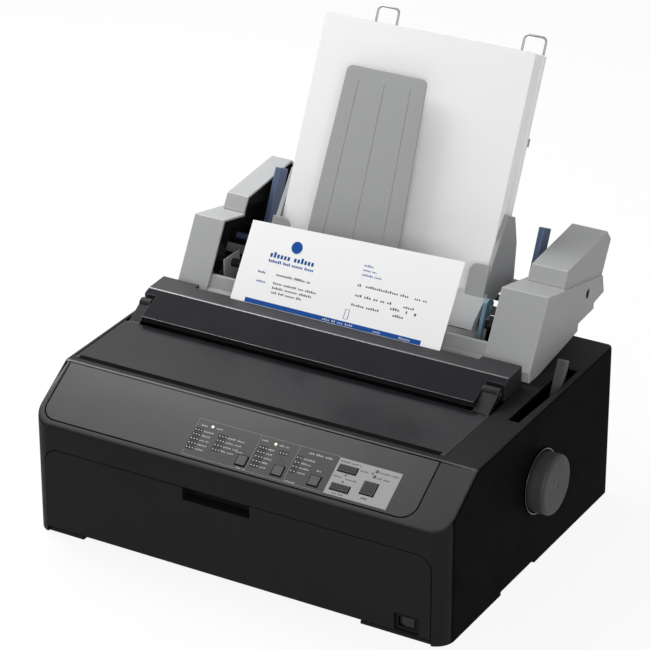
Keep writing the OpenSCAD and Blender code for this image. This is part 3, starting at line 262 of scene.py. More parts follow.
def newMaterial(name, settings, edge=False):
    # one Principled shader: base colour through grain, the paler edge tone (rubbing and a painted
    # highlight) and dust; the edge copy takes that paler tone in
    s = dict(color=grey(60), rough=0.5, clouding=0.08, grainScale=1600.0, bump=0.15, smudge=0.1,
             wear=0.3, worn=None, film=0.0, specular=0.5, metallic=0.0, kind="grain",
             emission=None, edgeShine=None, edgeRough=None)
    s.update(settings)
    if edge:
        s.update(specular=s["edgeShine"] or s["specular"], rough=s["edgeRough"] or s["rough"])
    material = bpy.data.materials.new(name)
    material.use_nodes = True
    tree = material.node_tree
    shader = tree.nodes["Principled BSDF"]
    t = Tree(tree)
    base = tree.nodes.new("ShaderNodeGroup")
    base.node_tree = groups[s["kind"]]
    base.inputs["Color"].default_value = s["color"]
    if s["kind"] == "grain":
        for label, key in (("Clouding", "clouding"), ("Grain Scale", "grainScale"),
                           ("Roughness", "rough"), ("Smudge", "smudge")):
            base.inputs[label].default_value = s[key]
    elif s["kind"] == "brushed":
        base.inputs["Roughness"].default_value = s["rough"]
        base.inputs["Clouding"].default_value = s["clouding"]
    color = base.outputs["Color"]
    if s["wear"] > 0 and edge:
        wear = tree.nodes.new("ShaderNodeGroup")
        wear.node_tree = groups["wear"]
        # paler than the base colour: partly rubbing, partly a painted highlight on the roundings
        worn = s["worn"] or tuple(min(1.0, c * 1.9 + 0.02) for c in s["color"][:3]) + (1.0,)
        wear.inputs["Worn"].default_value = worn
        wear.inputs["Amount"].default_value = s["wear"]
        tree.links.new(color, wear.inputs["Color"])
        color = wear.outputs["Color"]
    if s["film"] > 0:
        dust = tree.nodes.new("ShaderNodeGroup")
        dust.node_tree = groups["dust"]
        dust.inputs["Amount"].default_value = s["film"]
        tree.links.new(color, dust.inputs["Color"])
        color = dust.outputs["Color"]
    tree.links.new(color, shader.inputs["Base Color"])
    tree.links.new(base.outputs["Roughness"], shader.inputs["Roughness"])
    bump = tree.nodes.new("ShaderNodeBump")
    bump.inputs["Strength"].default_value = s["bump"]
    bump.inputs["Distance"].default_value = 0.00005
    tree.links.new(base.outputs["Height"], bump.inputs["Height"])
    tree.links.new(bump.outputs["Normal"], shader.inputs["Normal"])
    shader.inputs["Metallic"].default_value = s["metallic"]
    shader.inputs["Specular IOR Level"].default_value = s["specular"]
    if s["emission"]:
        tree.links.new(color, shader.inputs["Emission Color"])
        shader.inputs["Emission Strength"].default_value = s["emission"]
    return material


# each finish's paler edge colour is partly rubbing and partly a painted highlight along the
# roundings
finishes = {
    # one black moulding in face-by-face copies: sides and rear darker as painted shade, the slope
    # lighter and glossier as a painted highlight, front and top between
    "caseShadedPlastic": dict(color=grey(18), rough=0.65, specular=0.015, wear=0.0, bump=0.25),
    "coverPlastic": dict(color=grey(27), rough=0.55, specular=0.12, wear=0.0, bump=0.25),
    "slopeLitPlastic": dict(color=grey(34), rough=0.38, specular=0.27, smudge=0.03, wear=0.0,
                         bump=0.25),
    "topPlastic": dict(color=grey(26), rough=0.55, specular=0.1, wear=0.0, bump=0.25),
    "panelPlastic": dict(color=grey(34), rough=0.3, specular=0.46, smudge=0.03, wear=0.3,
                         worn=grey(110), bump=0.2),
    "lidPlastic": dict(color=(0.009, 0.0085, 0.011, 1), rough=0.2, specular=0.22, wear=0.3,
                       worn=grey(110), bump=0.08, clouding=0.15),
    "exitPlastic": dict(color=(0.0095, 0.009, 0.0115, 1), rough=0.45, specular=0.3, edgeShine=1.0,
                        edgeRough=0.3, wear=0.25, worn=grey(120), bump=0.2),
    "windowPlastic": dict(color=(0.0155, 0.015, 0.0185, 1), rough=0.5, specular=0.02, wear=0.0,
                          bump=0.1),
    "armPlastic": dict(color=grey(26), rough=0.6, specular=0.2, wear=0.3, worn=grey(90), bump=0.2),
    "keyPlastic": dict(color=grey(60), rough=0.5, specular=0.4, wear=0.5, worn=grey(120),
                       bump=0.2),
    "keyGreyPlastic": dict(color=grey(48), rough=0.5, specular=0.2, wear=0.5, worn=grey(130),
                           bump=0.2),
    "switchPlastic": dict(color=grey(10), rough=0.4, specular=0.1, wear=0.3, worn=grey(60),
                          bump=0.05),
    "rockerPlastic": dict(color=grey(30), rough=0.4, specular=0.25, wear=0.3, worn=grey(120),
                          bump=0.05),
    "knobPlastic": dict(color=grey(54), rough=0.55, specular=0.3, wear=0.6, worn=grey(110),
                        bump=0.25),
    "leverPlastic": dict(color=grey(68), rough=0.5, specular=0.35, wear=0.4, worn=grey(150),
                         bump=0.2),
    # the right housing's copy is a touch darker than the left's: painted shade, as the light falls
    # from the left
    "leftFeederPlastic": dict(color=grey(165, -0.01), rough=0.55, specular=0.3, wear=0.4,
                              worn=grey(215), bump=0.25, film=0.02, clouding=0.05),
    "rightFeederPlastic": dict(color=grey(160, -0.01), rough=0.55, specular=0.3, wear=0.4,
                               worn=grey(200), bump=0.25, film=0.02, clouding=0.05),
    "barPlastic": dict(color=grey(150, -0.01), rough=0.55, specular=0.3, wear=0.4,
                       worn=grey(185), bump=0.25, clouding=0.05),
    "guidePlastic": dict(color=grey(160, -0.01), rough=0.55, specular=0.3, wear=0.4,
                         worn=grey(200), bump=0.2, clouding=0.05),
    "stackerPlastic": dict(color=grey(160, -0.01), rough=0.6, specular=0.25, wear=0.2,
                           worn=grey(190), bump=0.2, clouding=0.05),
    # painted shade: the dark tone of the feeders' insides, the hopper plate's end in the left
    # housing and the exit cover's skirt, where shade falls
    "shadePaintedPlastic": dict(color=grey(32), rough=0.7, specular=0.1, wear=0.0, bump=0.2),
    "leverBlue": dict(color=screen(84, 98, 126), rough=0.5, specular=0.25, wear=0.4,
                      worn=screen(130, 146, 172), bump=0.15),
    "lockBlue": dict(color=screen(104, 136, 152), rough=0.5, specular=0.25, wear=0.4,
                     worn=screen(150, 178, 190), bump=0.15),
    "collarPlastic": dict(color=grey(14), rough=0.25, specular=0.5, wear=0.0, bump=0.05),
    # painted shade: a dark finish for strips and rims laid in gaps that fall in shade
    "feltBlack": dict(color=grey(14), rough=0.9, specular=0.05, wear=0.0, bump=0.5,
                      grainScale=2400.0),
    "lensSmoke": dict(color=grey(60), rough=0.2, specular=0.5, wear=0.0, bump=0.05),
    "rubber": dict(color=grey(28), rough=0.75, specular=0.25, wear=0.2, worn=grey(70), bump=0.4,
                   grainScale=900.0),
    "frameSteel": dict(color=grey(46), rough=0.5, specular=0.4, wear=0.4, worn=grey(120), bump=0.3,
                       grainScale=700.0),
    "blackSteel": dict(color=grey(30), rough=0.4, specular=0.5, wear=0.2, bump=0.1),
    "groundSteel": dict(kind="brushed", color=(0.56, 0.57, 0.58, 1), rough=0.25, metallic=1.0,
                        wear=0.0, bump=0.1),
    "screwSteel": dict(kind="brushed", color=(0.45, 0.44, 0.42, 1), rough=0.35, metallic=1.0,
                       wear=0.2, worn=(0.7, 0.7, 0.7, 1), bump=0.1),
    "wireSteel": dict(kind="brushed", color=(0.3, 0.3, 0.31, 1), rough=0.3, metallic=1.0,
                      wear=0.0, bump=0.05),
    "motorPaint": dict(color=grey(90), rough=0.4, metallic=0.6, specular=0.5, wear=0.4, bump=0.1),
    "gearPlastic": dict(color=grey(215, 0.03), rough=0.45, specular=0.4, wear=0.1, bump=0.1),
    "pinionBrass": dict(kind="brushed", color=(0.7, 0.52, 0.25, 1), rough=0.3, metallic=1.0,
                        wear=0.0, bump=0.1),
    "carriagePlastic": dict(color=grey(40), rough=0.5, specular=0.4, wear=0.3, bump=0.2),
    "headMetal": dict(color=(0.09, 0.09, 0.1, 1), rough=0.4, metallic=0.8, wear=0.5, bump=0.3,
                      worn=(0.4, 0.4, 0.42, 1)),
    "ribbonFabric": dict(color=grey(20), rough=0.85, specular=0.2, wear=0.0, bump=0.5,
                         grainScale=2600.0),
    "cartridgePlastic": dict(color=grey(38), rough=0.4, specular=0.4, wear=0.3, bump=0.15),
    "cableFilm": dict(color=grey(210, 0.02), rough=0.4, specular=0.4, wear=0.0, bump=0.1),
    "circuitBoard": dict(color=(0.02, 0.12, 0.045, 1), rough=0.4, specular=0.5, wear=0.2,
                         worn=(0.4, 0.35, 0.15, 1), bump=0.3, clouding=0.3),
    "supplyMetal": dict(kind="brushed", color=(0.5, 0.51, 0.52, 1), rough=0.4, metallic=0.9,
                        wear=0.0, bump=0.1),
    "socketPlastic": dict(color=grey(20), rough=0.35, specular=0.5, wear=0.2, bump=0.1),
    "connectorMetal": dict(kind="brushed", color=(0.5, 0.5, 0.48, 1), rough=0.3, metallic=1.0,
                           wear=0.0, bump=0.1),
    "stackPaper": dict(kind="fibre", color=(0.89, 0.89, 0.9, 1), wear=0.0, specular=0.2, bump=0.3),
    "pagePaper": dict(kind="fibre", color=(0.93, 0.93, 0.93, 1), wear=0.0, specular=0.2, bump=0.3),
    "inkBlue": dict(kind="fibre", color=screen(28, 78, 152), wear=0.0, specular=0.2, bump=0.2),
    "inkBlack": dict(kind="fibre", color=grey(70), wear=0.0, specular=0.2, bump=0.2),
    "inkPale": dict(kind="fibre", color=grey(190), wear=0.0, specular=0.2, bump=0.2),
    "labelFace": dict(color=grey(150), rough=0.5, specular=0.3, wear=0.0, bump=0.1, clouding=0.03),
    "labelInk": dict(color=grey(64), rough=0.5, specular=0.3, wear=0.0, bump=0.1),
    "panelInk": dict(color=grey(170), rough=0.5, specular=0.3, wear=0.0, bump=0.1),
    "panelLine": dict(color=grey(120), rough=0.5, specular=0.3, wear=0.0, bump=0.1),
    "dotDark": dict(color=grey(20), rough=0.5, specular=0.2, wear=0.0, bump=0.1),
    "dotPale": dict(color=grey(195), rough=0.5, specular=0.2, wear=0.0, bump=0.1),
    "lampGlow": dict(color=(0.95, 1.0, 0.6, 1), rough=0.3, wear=0.0, emission=1.1),
}
materials = {name: newMaterial(name, settings) for name, settings in finishes.items()}
edgeMaterials = {name: newMaterial(name + "Edge", settings, True)
                 for name, settings in finishes.items() if settings.get("wear", 0.3) > 0}
print("materials:", len(materials))


# CAD solids with softened edges: distances in metres, flat in degrees, turn in radians
softening = dict(merge=0.000002, flat=0.5, share=0.45, turn=2.5, least=0.00004)


def roomFor(edge):
    # widest rounding that the edges beside this one leave for it, in metres
    room = 1.0
    for vert in edge.verts:
        ahead = edge.other_vert(vert).co - vert.co
        for other in vert.link_edges:
            if other is edge or not set(other.link_faces) & set(edge.link_faces):
                continue
            across = other.other_vert(vert).co - vert.co
            turn = ahead.angle(across, 0.0)
            if turn < softening["turn"]:
                reach = across.length * math.sin(min(turn, math.pi / 2))
                room = min(room, softening["share"] * reach)
    return room


def softCopy(node, finish, width=0.35, sharp=18.0, segments=2, heavy=None, heavyWidth=3.0,
             heavySegments=5, edgeSlot=1, zones=()):
    # the node's own surface with flat faces joined and its edges rounded over. zones are pairs of
    # a test and a finish: the test reads each face's x span, two of its corners and its normal.
    # edgeSlot 1 gives the roundings the finish's paler edge copy, rubbed and with a painted
    # highlight, and -1 the finish of their faces
    mesh = bpy.data.meshes.new(camel(node) + "Skin")
    bm = bmesh.new()
    bm.from_mesh(frame["nodes"][node].data)
    bmesh.ops.remove_doubles(bm, verts=bm.verts, dist=softening["merge"])
    bmesh.ops.dissolve_limit(bm, angle_limit=math.radians(softening["flat"]), verts=bm.verts,
                             edges=bm.edges)
    bm.normal_update()
    bm.edges.ensure_lookup_table()
    if zones:
        ends = np.array([[(*v.co,) for v in (f.verts[0], f.verts[len(f.verts) // 2])]
                         for f in bm.faces])
        spans = np.array([[min(v.co.x for v in f.verts), max(v.co.x for v in f.verts)]
                          for f in bm.faces])
        normals = np.array([(*f.normal,) for f in bm.faces])
        index = np.zeros(len(normals), int)
        for k, (test, _) in enumerate(zones):
            index[test((spans - shift[0]) / mm, (ends - shift) / mm, normals)] = k + 2
        for face, k in zip(bm.faces, index):
            face.material_index = int(k)
    # faces in painted shade get no roundings between them
    shadePaintedSlots = [k + 2 for k, (_, zoneFinish) in enumerate(zones) if zoneFinish == "shadePaintedPlastic"]
    plain = np.array([all(f.material_index in shadePaintedSlots for f in e.link_faces) for e in bm.edges])
    angles = np.array([e.calc_face_angle(0.0) for e in bm.edges])
    convex = np.array([e.is_convex for e in bm.edges])
    corners = angles > math.radians(sharp)
    wanted = np.where(corners & ~plain, width * mm, 0.0)
    if heavy is not None:
        ends = np.array([[(*e.verts[0].co,), (*e.verts[1].co,)] for e in bm.edges])
        wanted = np.where(heavy((ends - shift) / mm) & corners & convex, heavyWidth * mm, wanted)
    rooms = np.array([roomFor(e) if c else 0.0 for e, c in zip(bm.edges, corners)])
    widths = np.minimum(wanted, rooms)
    widest = max(width, heavyWidth if heavy is not None else 0.0) * mm
    layer = bm.edges.layers.float.new("bevel_weight_edge")
    for edge, value, corner in zip(bm.edges, widths, corners):
        edge[layer] = float(value / widest)
        edge.smooth = not (corner and value < softening["least"])
    bmesh.ops.triangulate(bm, faces=[f for f in bm.faces if len(f.verts) > 4],
                          ngon_method="BEAUTY")
    bm.to_mesh(mesh)
    bm.free()
    mesh.polygons.foreach_set("use_smooth", np.ones(len(mesh.polygons), bool))
    mesh.materials.append(materials[finish])
    mesh.materials.append(edgeMaterials.get(finish, materials[finish]))
    for _, zoneFinish in zones:
        mesh.materials.append(materials[zoneFinish])
    piece = bpy.data.objects.new(camel(node) + "Skin", mesh)
    bpy.context.scene.collection.objects.link(piece)
    bevel = piece.modifiers.new("softEdges", "BEVEL")
    bevel.limit_method = "WEIGHT"
    bevel.width = widest
    bevel.segments = heavySegments if heavy is not None else segments
    bevel.use_clamp_overlap = False
    bevel.harden_normals = False
    bevel.miter_outer = "MITER_ARC"
    bevel.material = edgeSlot
    bevel.loop_slide = False
    even = piece.modifiers.new("evenNormals", "WEIGHTED_NORMAL")
    even.mode = "FACE_AREA"
    even.keep_sharp = True
    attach(piece, bodyOf[node])
    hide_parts(node)
    return piece


# surfaces worked out on grids
def newPiece(name, points, faces, finish, body, slot, smooth=True):
    # points in the frame's metres, faces as lists of their indices
    mesh = bpy.data.meshes.new(name)
    mesh.from_pydata(np.asarray(points).tolist(), [], [list(map(int, f)) for f in faces])
    mesh.polygons.foreach_set("use_smooth", np.full(len(mesh.polygons), smooth))
    mesh.materials.append(materials[finish])
    mesh.update()
    piece = bpy.data.objects.new(name, mesh)
    bpy.context.scene.collection.objects.link(piece)
    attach(piece, body)
    return piece


def gridFaces(rows, cols, wrapRows=False, wrapCols=False):
    # quads of a rows x cols grid, closed round either way
    i = np.arange(rows if wrapRows else rows - 1)
    j = np.arange(cols if wrapCols else cols - 1)
    i, j = (g.ravel() for g in np.meshgrid(i, j, indexing="ij"))
    i1, j1 = (i + 1) % rows, (j + 1) % cols
    return np.stack([i * cols + j, i * cols + j1, i1 * cols + j1, i1 * cols + j], 1)


def sweep(path, radius, sides=12):
    # tube round a closed path in the plane of the leaning stack: at each point of the path a ring
    # of radius * (cos(angle) * side + sin(angle) * normal)
    path = np.asarray(path, float)
    tangent = np.roll(path, -1, 0) - np.roll(path, 1, 0)
    tangent /= np.linalg.norm(tangent, axis=1, keepdims=True)
    normal = np.broadcast_to(np.array([0.0, math.cos(lean), -math.sin(lean)]), path.shape)
    side = np.cross(tangent, normal)
    angle = np.linspace(0, 2 * np.pi, sides, endpoint=False)
    ring = (path[:, None] + radius * (np.cos(angle)[None, :, None] * side[:, None]
                                      + np.sin(angle)[None, :, None] * normal[:, None]))
    return ring.reshape(-1, 3), gridFaces(len(path), sides, True, True)[:, ::-1]


def slabs(rects, place, low, high):
    # flat closed boxes: rectangles (u0, u1, v0, v1) carried by place(u, v, height)
    rects = np.asarray(rects, float)
    u = rects[:, [0, 1, 1, 0, 0, 1, 1, 0]]
    v = rects[:, [2, 2, 3, 3, 2, 2, 3, 3]]
    h = np.array([low] * 4 + [high] * 4)[None, :] + 0 * u
    points = place(u, v, h).reshape(-1, 3)
    cube = np.array([[0, 3, 2, 1], [4, 5, 6, 7], [0, 1, 5, 4], [1, 2, 6, 5], [2, 3, 7, 6],
                     [3, 0, 4, 7]])
    faces = (np.arange(len(rects))[:, None, None] * 8 + cube[None]).reshape(-1, 4)
    return points, faces


def discs(centres, radius, place, low, high, sides=12):
    # short closed cylinders on the carrying surface: rings of centre + radius * (cos, sin) at the
    # two heights, with walls between them and a face across each
    centres = np.asarray(centres, float)
    angle = np.linspace(0, 2 * np.pi, sides, endpoint=False)
    u = centres[:, None, 0] + radius * np.cos(angle)
    v = centres[:, None, 1] + radius * np.sin(angle)
    u, v = np.concatenate([u, u], 1), np.concatenate([v, v], 1)
    h = np.concatenate([np.full(sides, low), np.full(sides, high)])[None] + 0 * u
    points = place(u, v, h).reshape(-1, 3)
    j = np.arange(sides)
    k = (j + 1) % sides
    walls = np.stack([j, k, k + sides, j + sides], 1)
    faces = []
    for n in range(len(centres)):
        o = n * 2 * sides
        faces += [list(o + j[::-1]), list(o + sides + j)] + (walls + o).tolist()
    return points, faces


def join(*parts):
    # several sets of points and faces as one, each set's indices moved on by the points before it
    points, faces, count = [], [], 0
    for p, f in parts:
        points.append(np.asarray(p))
        faces += [[int(i) + count for i in face] for face in f]
        count += len(p)
    return np.concatenate(points), faces


# case and covers: tests that pick edges or faces, in drawing millimetres
def onCorner(x, y, radius, middle):
    # points whose distance from a centre at (halfWidth - radius, middle) is the radius
    return np.abs(np.hypot(x - halfWidth + radius, y - middle) - radius) < 0.1


def caseOutline(ends):
    # edges of the case's own outer skin above the front face: both ends on its outline in plan
    x, y, z = np.abs(ends[..., 0]), ends[..., 1], ends[..., 2]
    front, rear = shell["frontCorner"], shell["rearCorner"]
    back = shell["depth"] - rear
    outer = (np.abs(x - halfWidth) < 0.05) | (np.abs(y) < 0.05)
    outer |= np.abs(y - shell["depth"]) < 0.05
    outer |= onCorner(x, y, front, front) & (y < front) & (x > halfWidth - front)
    outer |= onCorner(x, y, rear, back) & (y > back) & (x > halfWidth - rear)
    return (outer & (z > shell["frontHeight"] - 0.5)).all(1)


def caseFront(spans, ends, normals):
    # the front face and the rounded corners beside it
    upright = (normals[:, 1] < -0.35) & (np.abs(normals[:, 2]) < 0.1)
    return upright & (ends[:, :, 1] < shell["frontCorner"] + 0.5).all(1)


def caseSlope(spans, ends, normals):
    # faces along the slope, from just below its foot up
    slope = normals @ np.array([0, -math.sin(bevelAngle), math.cos(bevelAngle)]) > 0.99
    return slope & (ends[:, :, 2] > shell["frontHeight"] - 1).all(1)


def caseTop(spans, ends, normals):
    # level faces at the height of the shoulder or above
    return (normals[:, 2] > 0.95) & (ends[:, :, 2] > shell["shoulder"] - 0.5).all(1)


covers = dict(lidArmStart=146.2, skirtBack=158.0, skirtTop=153.6, slopeFoot=153.0,
              ridgeBack=185.0, ridgeLength=40.0)


def lidArms(spans, ends, normals):
    # the two arms behind the lid's plate
    return (ends[:, :, 1] > covers["lidArmStart"]).all(1)


def exitSkirt(spans, ends, normals):
    # the faces below and behind the front lip, which take painted shade
    return ((ends[:, :, 1] < covers["skirtBack"]) & (ends[:, :, 2] < covers["skirtTop"])).all(1)


def exitSlope(spans, ends, normals):
    # faces that look forward and up, above the skirt
    slope = (normals[:, 1] < -0.3) & (normals[:, 2] > 0.3)
    return slope & (ends[:, :, 2] > covers["slopeFoot"]).all(1)


def exitRidges(ends):
    # the front lip and the crest line: long edges that run level from side to side
    level = np.abs(ends[:, 0, 1:] - ends[:, 1, 1:]).max(1) < 0.1
    reach = np.abs(ends[:, 0, 0] - ends[:, 1, 0]) > covers["ridgeLength"]
    return level & reach & (ends[:, 0, 1] < covers["ridgeBack"])


# the zones give the case's faces the lit and shaded copies of its one plastic
casePieces = {
    "upper_case": dict(finish="caseShadedPlastic", width=0.3, heavy=caseOutline, heavyWidth=2.6,
                       edgeSlot=-1, zones=((caseFront, "coverPlastic"),
                                           (caseSlope, "slopeLitPlastic"), (caseTop, "topPlastic"))),
    "lower_case": dict(finish="caseShadedPlastic", width=0.2, edgeSlot=-1,
                       zones=((caseFront, "coverPlastic"),)),
    "front_cover": dict(finish="coverPlastic", width=0.4, edgeSlot=-1),
    "lid": dict(finish="lidPlastic", width=0.7, segments=3, zones=((lidArms, "armPlastic"),)),
    "exit_cover": dict(finish="exitPlastic", width=0.12, sharp=14, heavy=exitRidges,
                       heavyWidth=0.9, heavySegments=3,
                       zones=((exitSkirt, "shadePaintedPlastic"), (exitSlope, "windowPlastic"))),
}
for node, settings in casePieces.items():
    softCopy(node, **settings)


def onDesk(u, v, h):
    # x, y and the height above the desk, as they are
    return toFrame(np.stack([u, v, h], -1))


def onTop(u, v, h):
    # h above the case's top, which rises by topSlope for each millimetre back
    return onDesk(u, v, h + shell["shoulder"] + (v - shell["bevelDepth"]) * topSlope)


def onPanel(u, v, h):
    # v up the sloping panel and h off it
    return toFrame(onBevel(u, v, h))


# dark strips of painted shade, as a rectangle and its two heights: under the exit cover's lip, and
# before the lid, where the gaps fall in shade
shadeStrips = dict(skirt=((-168.0, 144.0, 150.1, 151.6), 140.0, 149.2),
            lid=((-198.0, 166.0, 62.6, 69.0), -0.05, 0.06))
strip, low, high = shadeStrips["skirt"]
newPiece("skirtShadeStrip", *slabs([strip], onDesk, low, high), "feltBlack", bodyOf["exit_cover"],
         slotOf["exit_cover"], smooth=False)
strip, low, high = shadeStrips["lid"]
newPiece("lidFelt", *slabs([strip], onTop, low, high), "feltBlack", "printer",
         slotOf["upper_case"], smooth=False)

gapShade = dict(left=-200.0, right=171.0, foot=6.5, top=65.3, corner=14.0, inner=-0.4, outer=0.95,
              sunk=-0.1, rise=0.07)


def buildGapShade(g):
    # dark flat ribbon down both sides of the panel and along its foot, painted shade in the gap
    # round it; its corners are quarter circles of centre + corner * (-cos, -sin) on the left and
    # centre + corner * (sin, -cos) on the right
    t = np.linspace(0, np.pi / 2, 13)
    leftTurn = np.stack([-np.cos(t), -np.sin(t)], 1)
    rightTurn = np.stack([np.sin(t), -np.cos(t)], 1)
    centreV = g["foot"] + g["corner"]
    path = np.concatenate([[[g["left"], g["top"]]],
                           [g["left"] + g["corner"], centreV] + g["corner"] * leftTurn,
                           [g["right"] - g["corner"], centreV] + g["corner"] * rightTurn,
                           [[g["right"], g["top"]]]])
    away = np.concatenate([[[-1, 0]], leftTurn, rightTurn, [[1, 0]]])
    inner, outer = path + away * g["inner"], path + away * g["outer"]
    ring = np.stack([inner, outer, outer, inner], 1)
    h = np.array([g["sunk"], g["sunk"], g["rise"], g["rise"]])[None] + 0 * ring[..., 0]
    count = len(path)
    faces = np.concatenate([gridFaces(count, 4, False, True),
                            [[3, 2, 1, 0], np.arange(4) + 4 * (count - 1)]])
    return onPanel(ring[..., 0], ring[..., 1], h).reshape(-1, 3), faces[:, ::-1]


newPiece("panelGapShade", *buildGapShade(gapShade), "feltBlack", "printer", slotOf["control_panel"],
         smooth=False)
darkKey = dict(finish="keyPlastic", width=0.45, segments=3)
greyKey = dict(finish="keyGreyPlastic", width=0.45, segments=3)
panelPieces = {
    "control_panel": dict(finish="panelPlastic", width=0.5, segments=3),
    "font_button": darkKey, "pitch_button": darkKey, "tear_off_button": darkKey,
    "load_button": greyKey, "feed_button": greyKey, "pause_button": greyKey,
    "switch_housing": dict(finish="switchPlastic", width=0.4),
    "power_rocker": dict(finish="rockerPlastic", width=0.5),
}
for node, settings in panelPieces.items():
    softCopy(node, **settings)
print("case: done")

# sheet feeder: the housings' inner and outer faces in x, and where the insides painted dark as
# shade begin
feeder = dict(leftIn=-157.5, leftOut=-189.5, rightIn=128.5, rightOut=174.5, blockStep=9.0,
              innerWall=2.6, hopperEnd=-123.0)


def leftCavity(spans, ends, normals):
    # between the outer wall and the open side, but not the outer face of the upper block
    block = np.abs(spans[:, 0] - feeder["leftOut"] - feeder["blockStep"]) < 0.1
    inside = (spans[:, 0] > feeder["leftOut"] + 1) & (spans[:, 0] < feeder["leftIn"] - 0.5)
    return inside & ~block


def rightCavity(spans, ends, normals):
    # between the open side and the outer wall
    return ((spans[:, 1] < feeder["rightOut"] - feeder["innerWall"])
            & (spans[:, 1] > feeder["rightIn"] + feeder["blockStep"]))


def hopperEnd(spans, ends, normals):
    # the plate's end inside the left housing, which takes painted shade
    return spans[:, 1] < feeder["hopperEnd"]


guide = dict(finish="guidePlastic", width=0.4)
lock = dict(finish="lockBlue", width=0.5)
feederPieces = {
    "feeder_left_side": dict(finish="leftFeederPlastic", width=0.8, segments=3,
                             zones=((leftCavity, "shadePaintedPlastic"),)),
    "feeder_right_side": dict(finish="rightFeederPlastic", width=0.8, segments=3,
                              zones=((rightCavity, "shadePaintedPlastic"),)),
    "feeder_crossbar": dict(finish="barPlastic", width=0.6),
    "hopper_plate": dict(finish="barPlastic", width=0.4, edgeSlot=-1,
                         zones=((hopperEnd, "shadePaintedPlastic"),)),
    "stacker_plate": dict(finish="stackerPlastic", width=0.3),
    "left_sheet_guide": guide, "left_lock_lever": lock,
    "right_sheet_guide": guide, "right_lock_lever": lock,
    "set_levers": dict(finish="leverBlue", width=0.6),
    "release_lever": dict(finish="leverPlastic", width=0.8, segments=3),
}
for node, settings in feederPieces.items():
    softCopy(node, **settings)
print("feeder: done")

# mechanism and electronics: each node's finish, and a narrower rounding where walls are thin
inner = {
    "panel_board": "circuitBoard", "chassis": "frameSteel", "carriage_rail": "groundSteel",
    "paper_guide": "frameSteel", "platen_shaft": "groundSteel", "platen_gear": "gearPlastic",
    "feed_motor": "motorPaint", "motor_pinion": "pinionBrass", "lower_idler": "gearPlastic",
    "upper_idler": "gearPlastic", "carriage": "carriagePlastic", "print_head": "headMetal",
    "drive_belt": "rubber", "motor_pulley": "pinionBrass", "idler_pulley": "gearPlastic",
    "carriage_motor": "motorPaint", "ribbon_cartridge": "cartridgePlastic",
    "head_cable": "cableFilm", "main_board": "circuitBoard", "power_supply": "supplyMetal",
    "power_inlet": "socketPlastic", "interface_socket": "connectorMetal",
    "guide_shaft": "blackSteel", "pickup_shaft": "blackSteel", "rubber_feet": "rubber",
    "case_screws": "screwSteel", "pickup_rollers": "rubber", "platen_roller": "rubber",
    "ribbon": "ribbonFabric",
}
thin = {"head_cable": 0.1, "ribbon": 0.08, "drive_belt": 0.15, "lower_idler": 0.1,
        "upper_idler": 0.1, "platen_gear": 0.1, "pickup_shaft": 0.12, "motor_pinion": 0.08,
        "paper_guide": 0.2, "motor_pulley": 0.15, "idler_pulley": 0.15}
lamps = dict(finish="lensSmoke", width=0.25, litEnd=60.0)
for node, finish in inner.items():
    softCopy(node, finish, width=thin.get(node, 0.3))


def litLenses(spans, ends, normals):
    # the two lamps left of the pale label, which are lit
    return spans[:, 1] < lamps["litEnd"]


softCopy("indicator_lenses", lamps["finish"], width=lamps["width"],
         zones=((litLenses, "lampGlow"),))
print("mechanism: done")

knob = dict(centre=(173.0, 80.0), radius=27.5, inward=1.0, out=16.6, flutes=60, flute=0.2,
            rimRound=3.4, chamfer=0.6, bore=5.0, boreFloor=6.0, hubRadius=8.0, hubRing=4.0,
            tip=0.01, skirt=3.5, web=5.0)


def buildKnob(k):
    # rows of (x, radius, share of the ripple) round a closed profile, turned about the knob's
    # axis; a ripple takes share * flute * (1 - cos(flutes * angle)) / 2 off the radius
    x0, x1 = halfWidth - k["inward"], halfWidth + k["out"]
    r = k["radius"]
    t = np.linspace(0, np.pi / 2, 7)
    rimX = x1 - k["rimRound"] + k["rimRound"] * np.sin(t)
    rimR = r - k["rimRound"] + k["rimRound"] * np.cos(t)
    faceR = np.linspace(r - k["rimRound"], k["hubRing"], 9)[1:]
    inX, inR, floorX = x1 - k["web"], r - k["skirt"], x1 - k["boreFloor"]
    outer = [(x0, r - k["chamfer"], 1), (x0 + k["chamfer"], r, 1), (x0 + 6, r, 1)]
    outer += [(x, q, 1 if x < x1 - k["chamfer"] else 0.3) for x, q in zip(rimX, rimR)]
    outer += [(x1, q, 0) for q in faceR] + [(x1, k["tip"], 0)]
    inner = [(floorX, k["tip"], 0), (floorX, k["bore"], 0), (x0, k["bore"], 0),
             (x0, k["hubRadius"], 0), (inX, k["hubRadius"], 0), (inX, inR, 0), (x0, inR, 0)]
    rows = np.array(inner + outer)
    angle = np.linspace(0, 2 * np.pi, k["flutes"] * 6, endpoint=False)
    ripple = k["flute"] * (0.5 - 0.5 * np.cos(k["flutes"] * angle))
    radius = rows[:, 1][:, None] - rows[:, 2][:, None] * ripple[None]
    y = k["centre"][0] + radius * np.cos(angle)
    z = k["centre"][1] + radius * np.sin(angle)
    x = rows[:, 0][:, None] + 0 * y
    faces = gridFaces(len(rows), len(angle), True, True)
    return toFrame(np.stack([x, y, z], -1)).reshape(-1, 3), faces


points, faces = buildKnob(knob)
feedKnob = newPiece("feedKnob", points, faces, "knobPlastic", "platen", slotOf["feed_knob"])
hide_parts("feed_knob")


collar = dict(inner=28.4, outer=30.0, rise=1.4, sunk=-0.2, corner=0.6, sides=72)


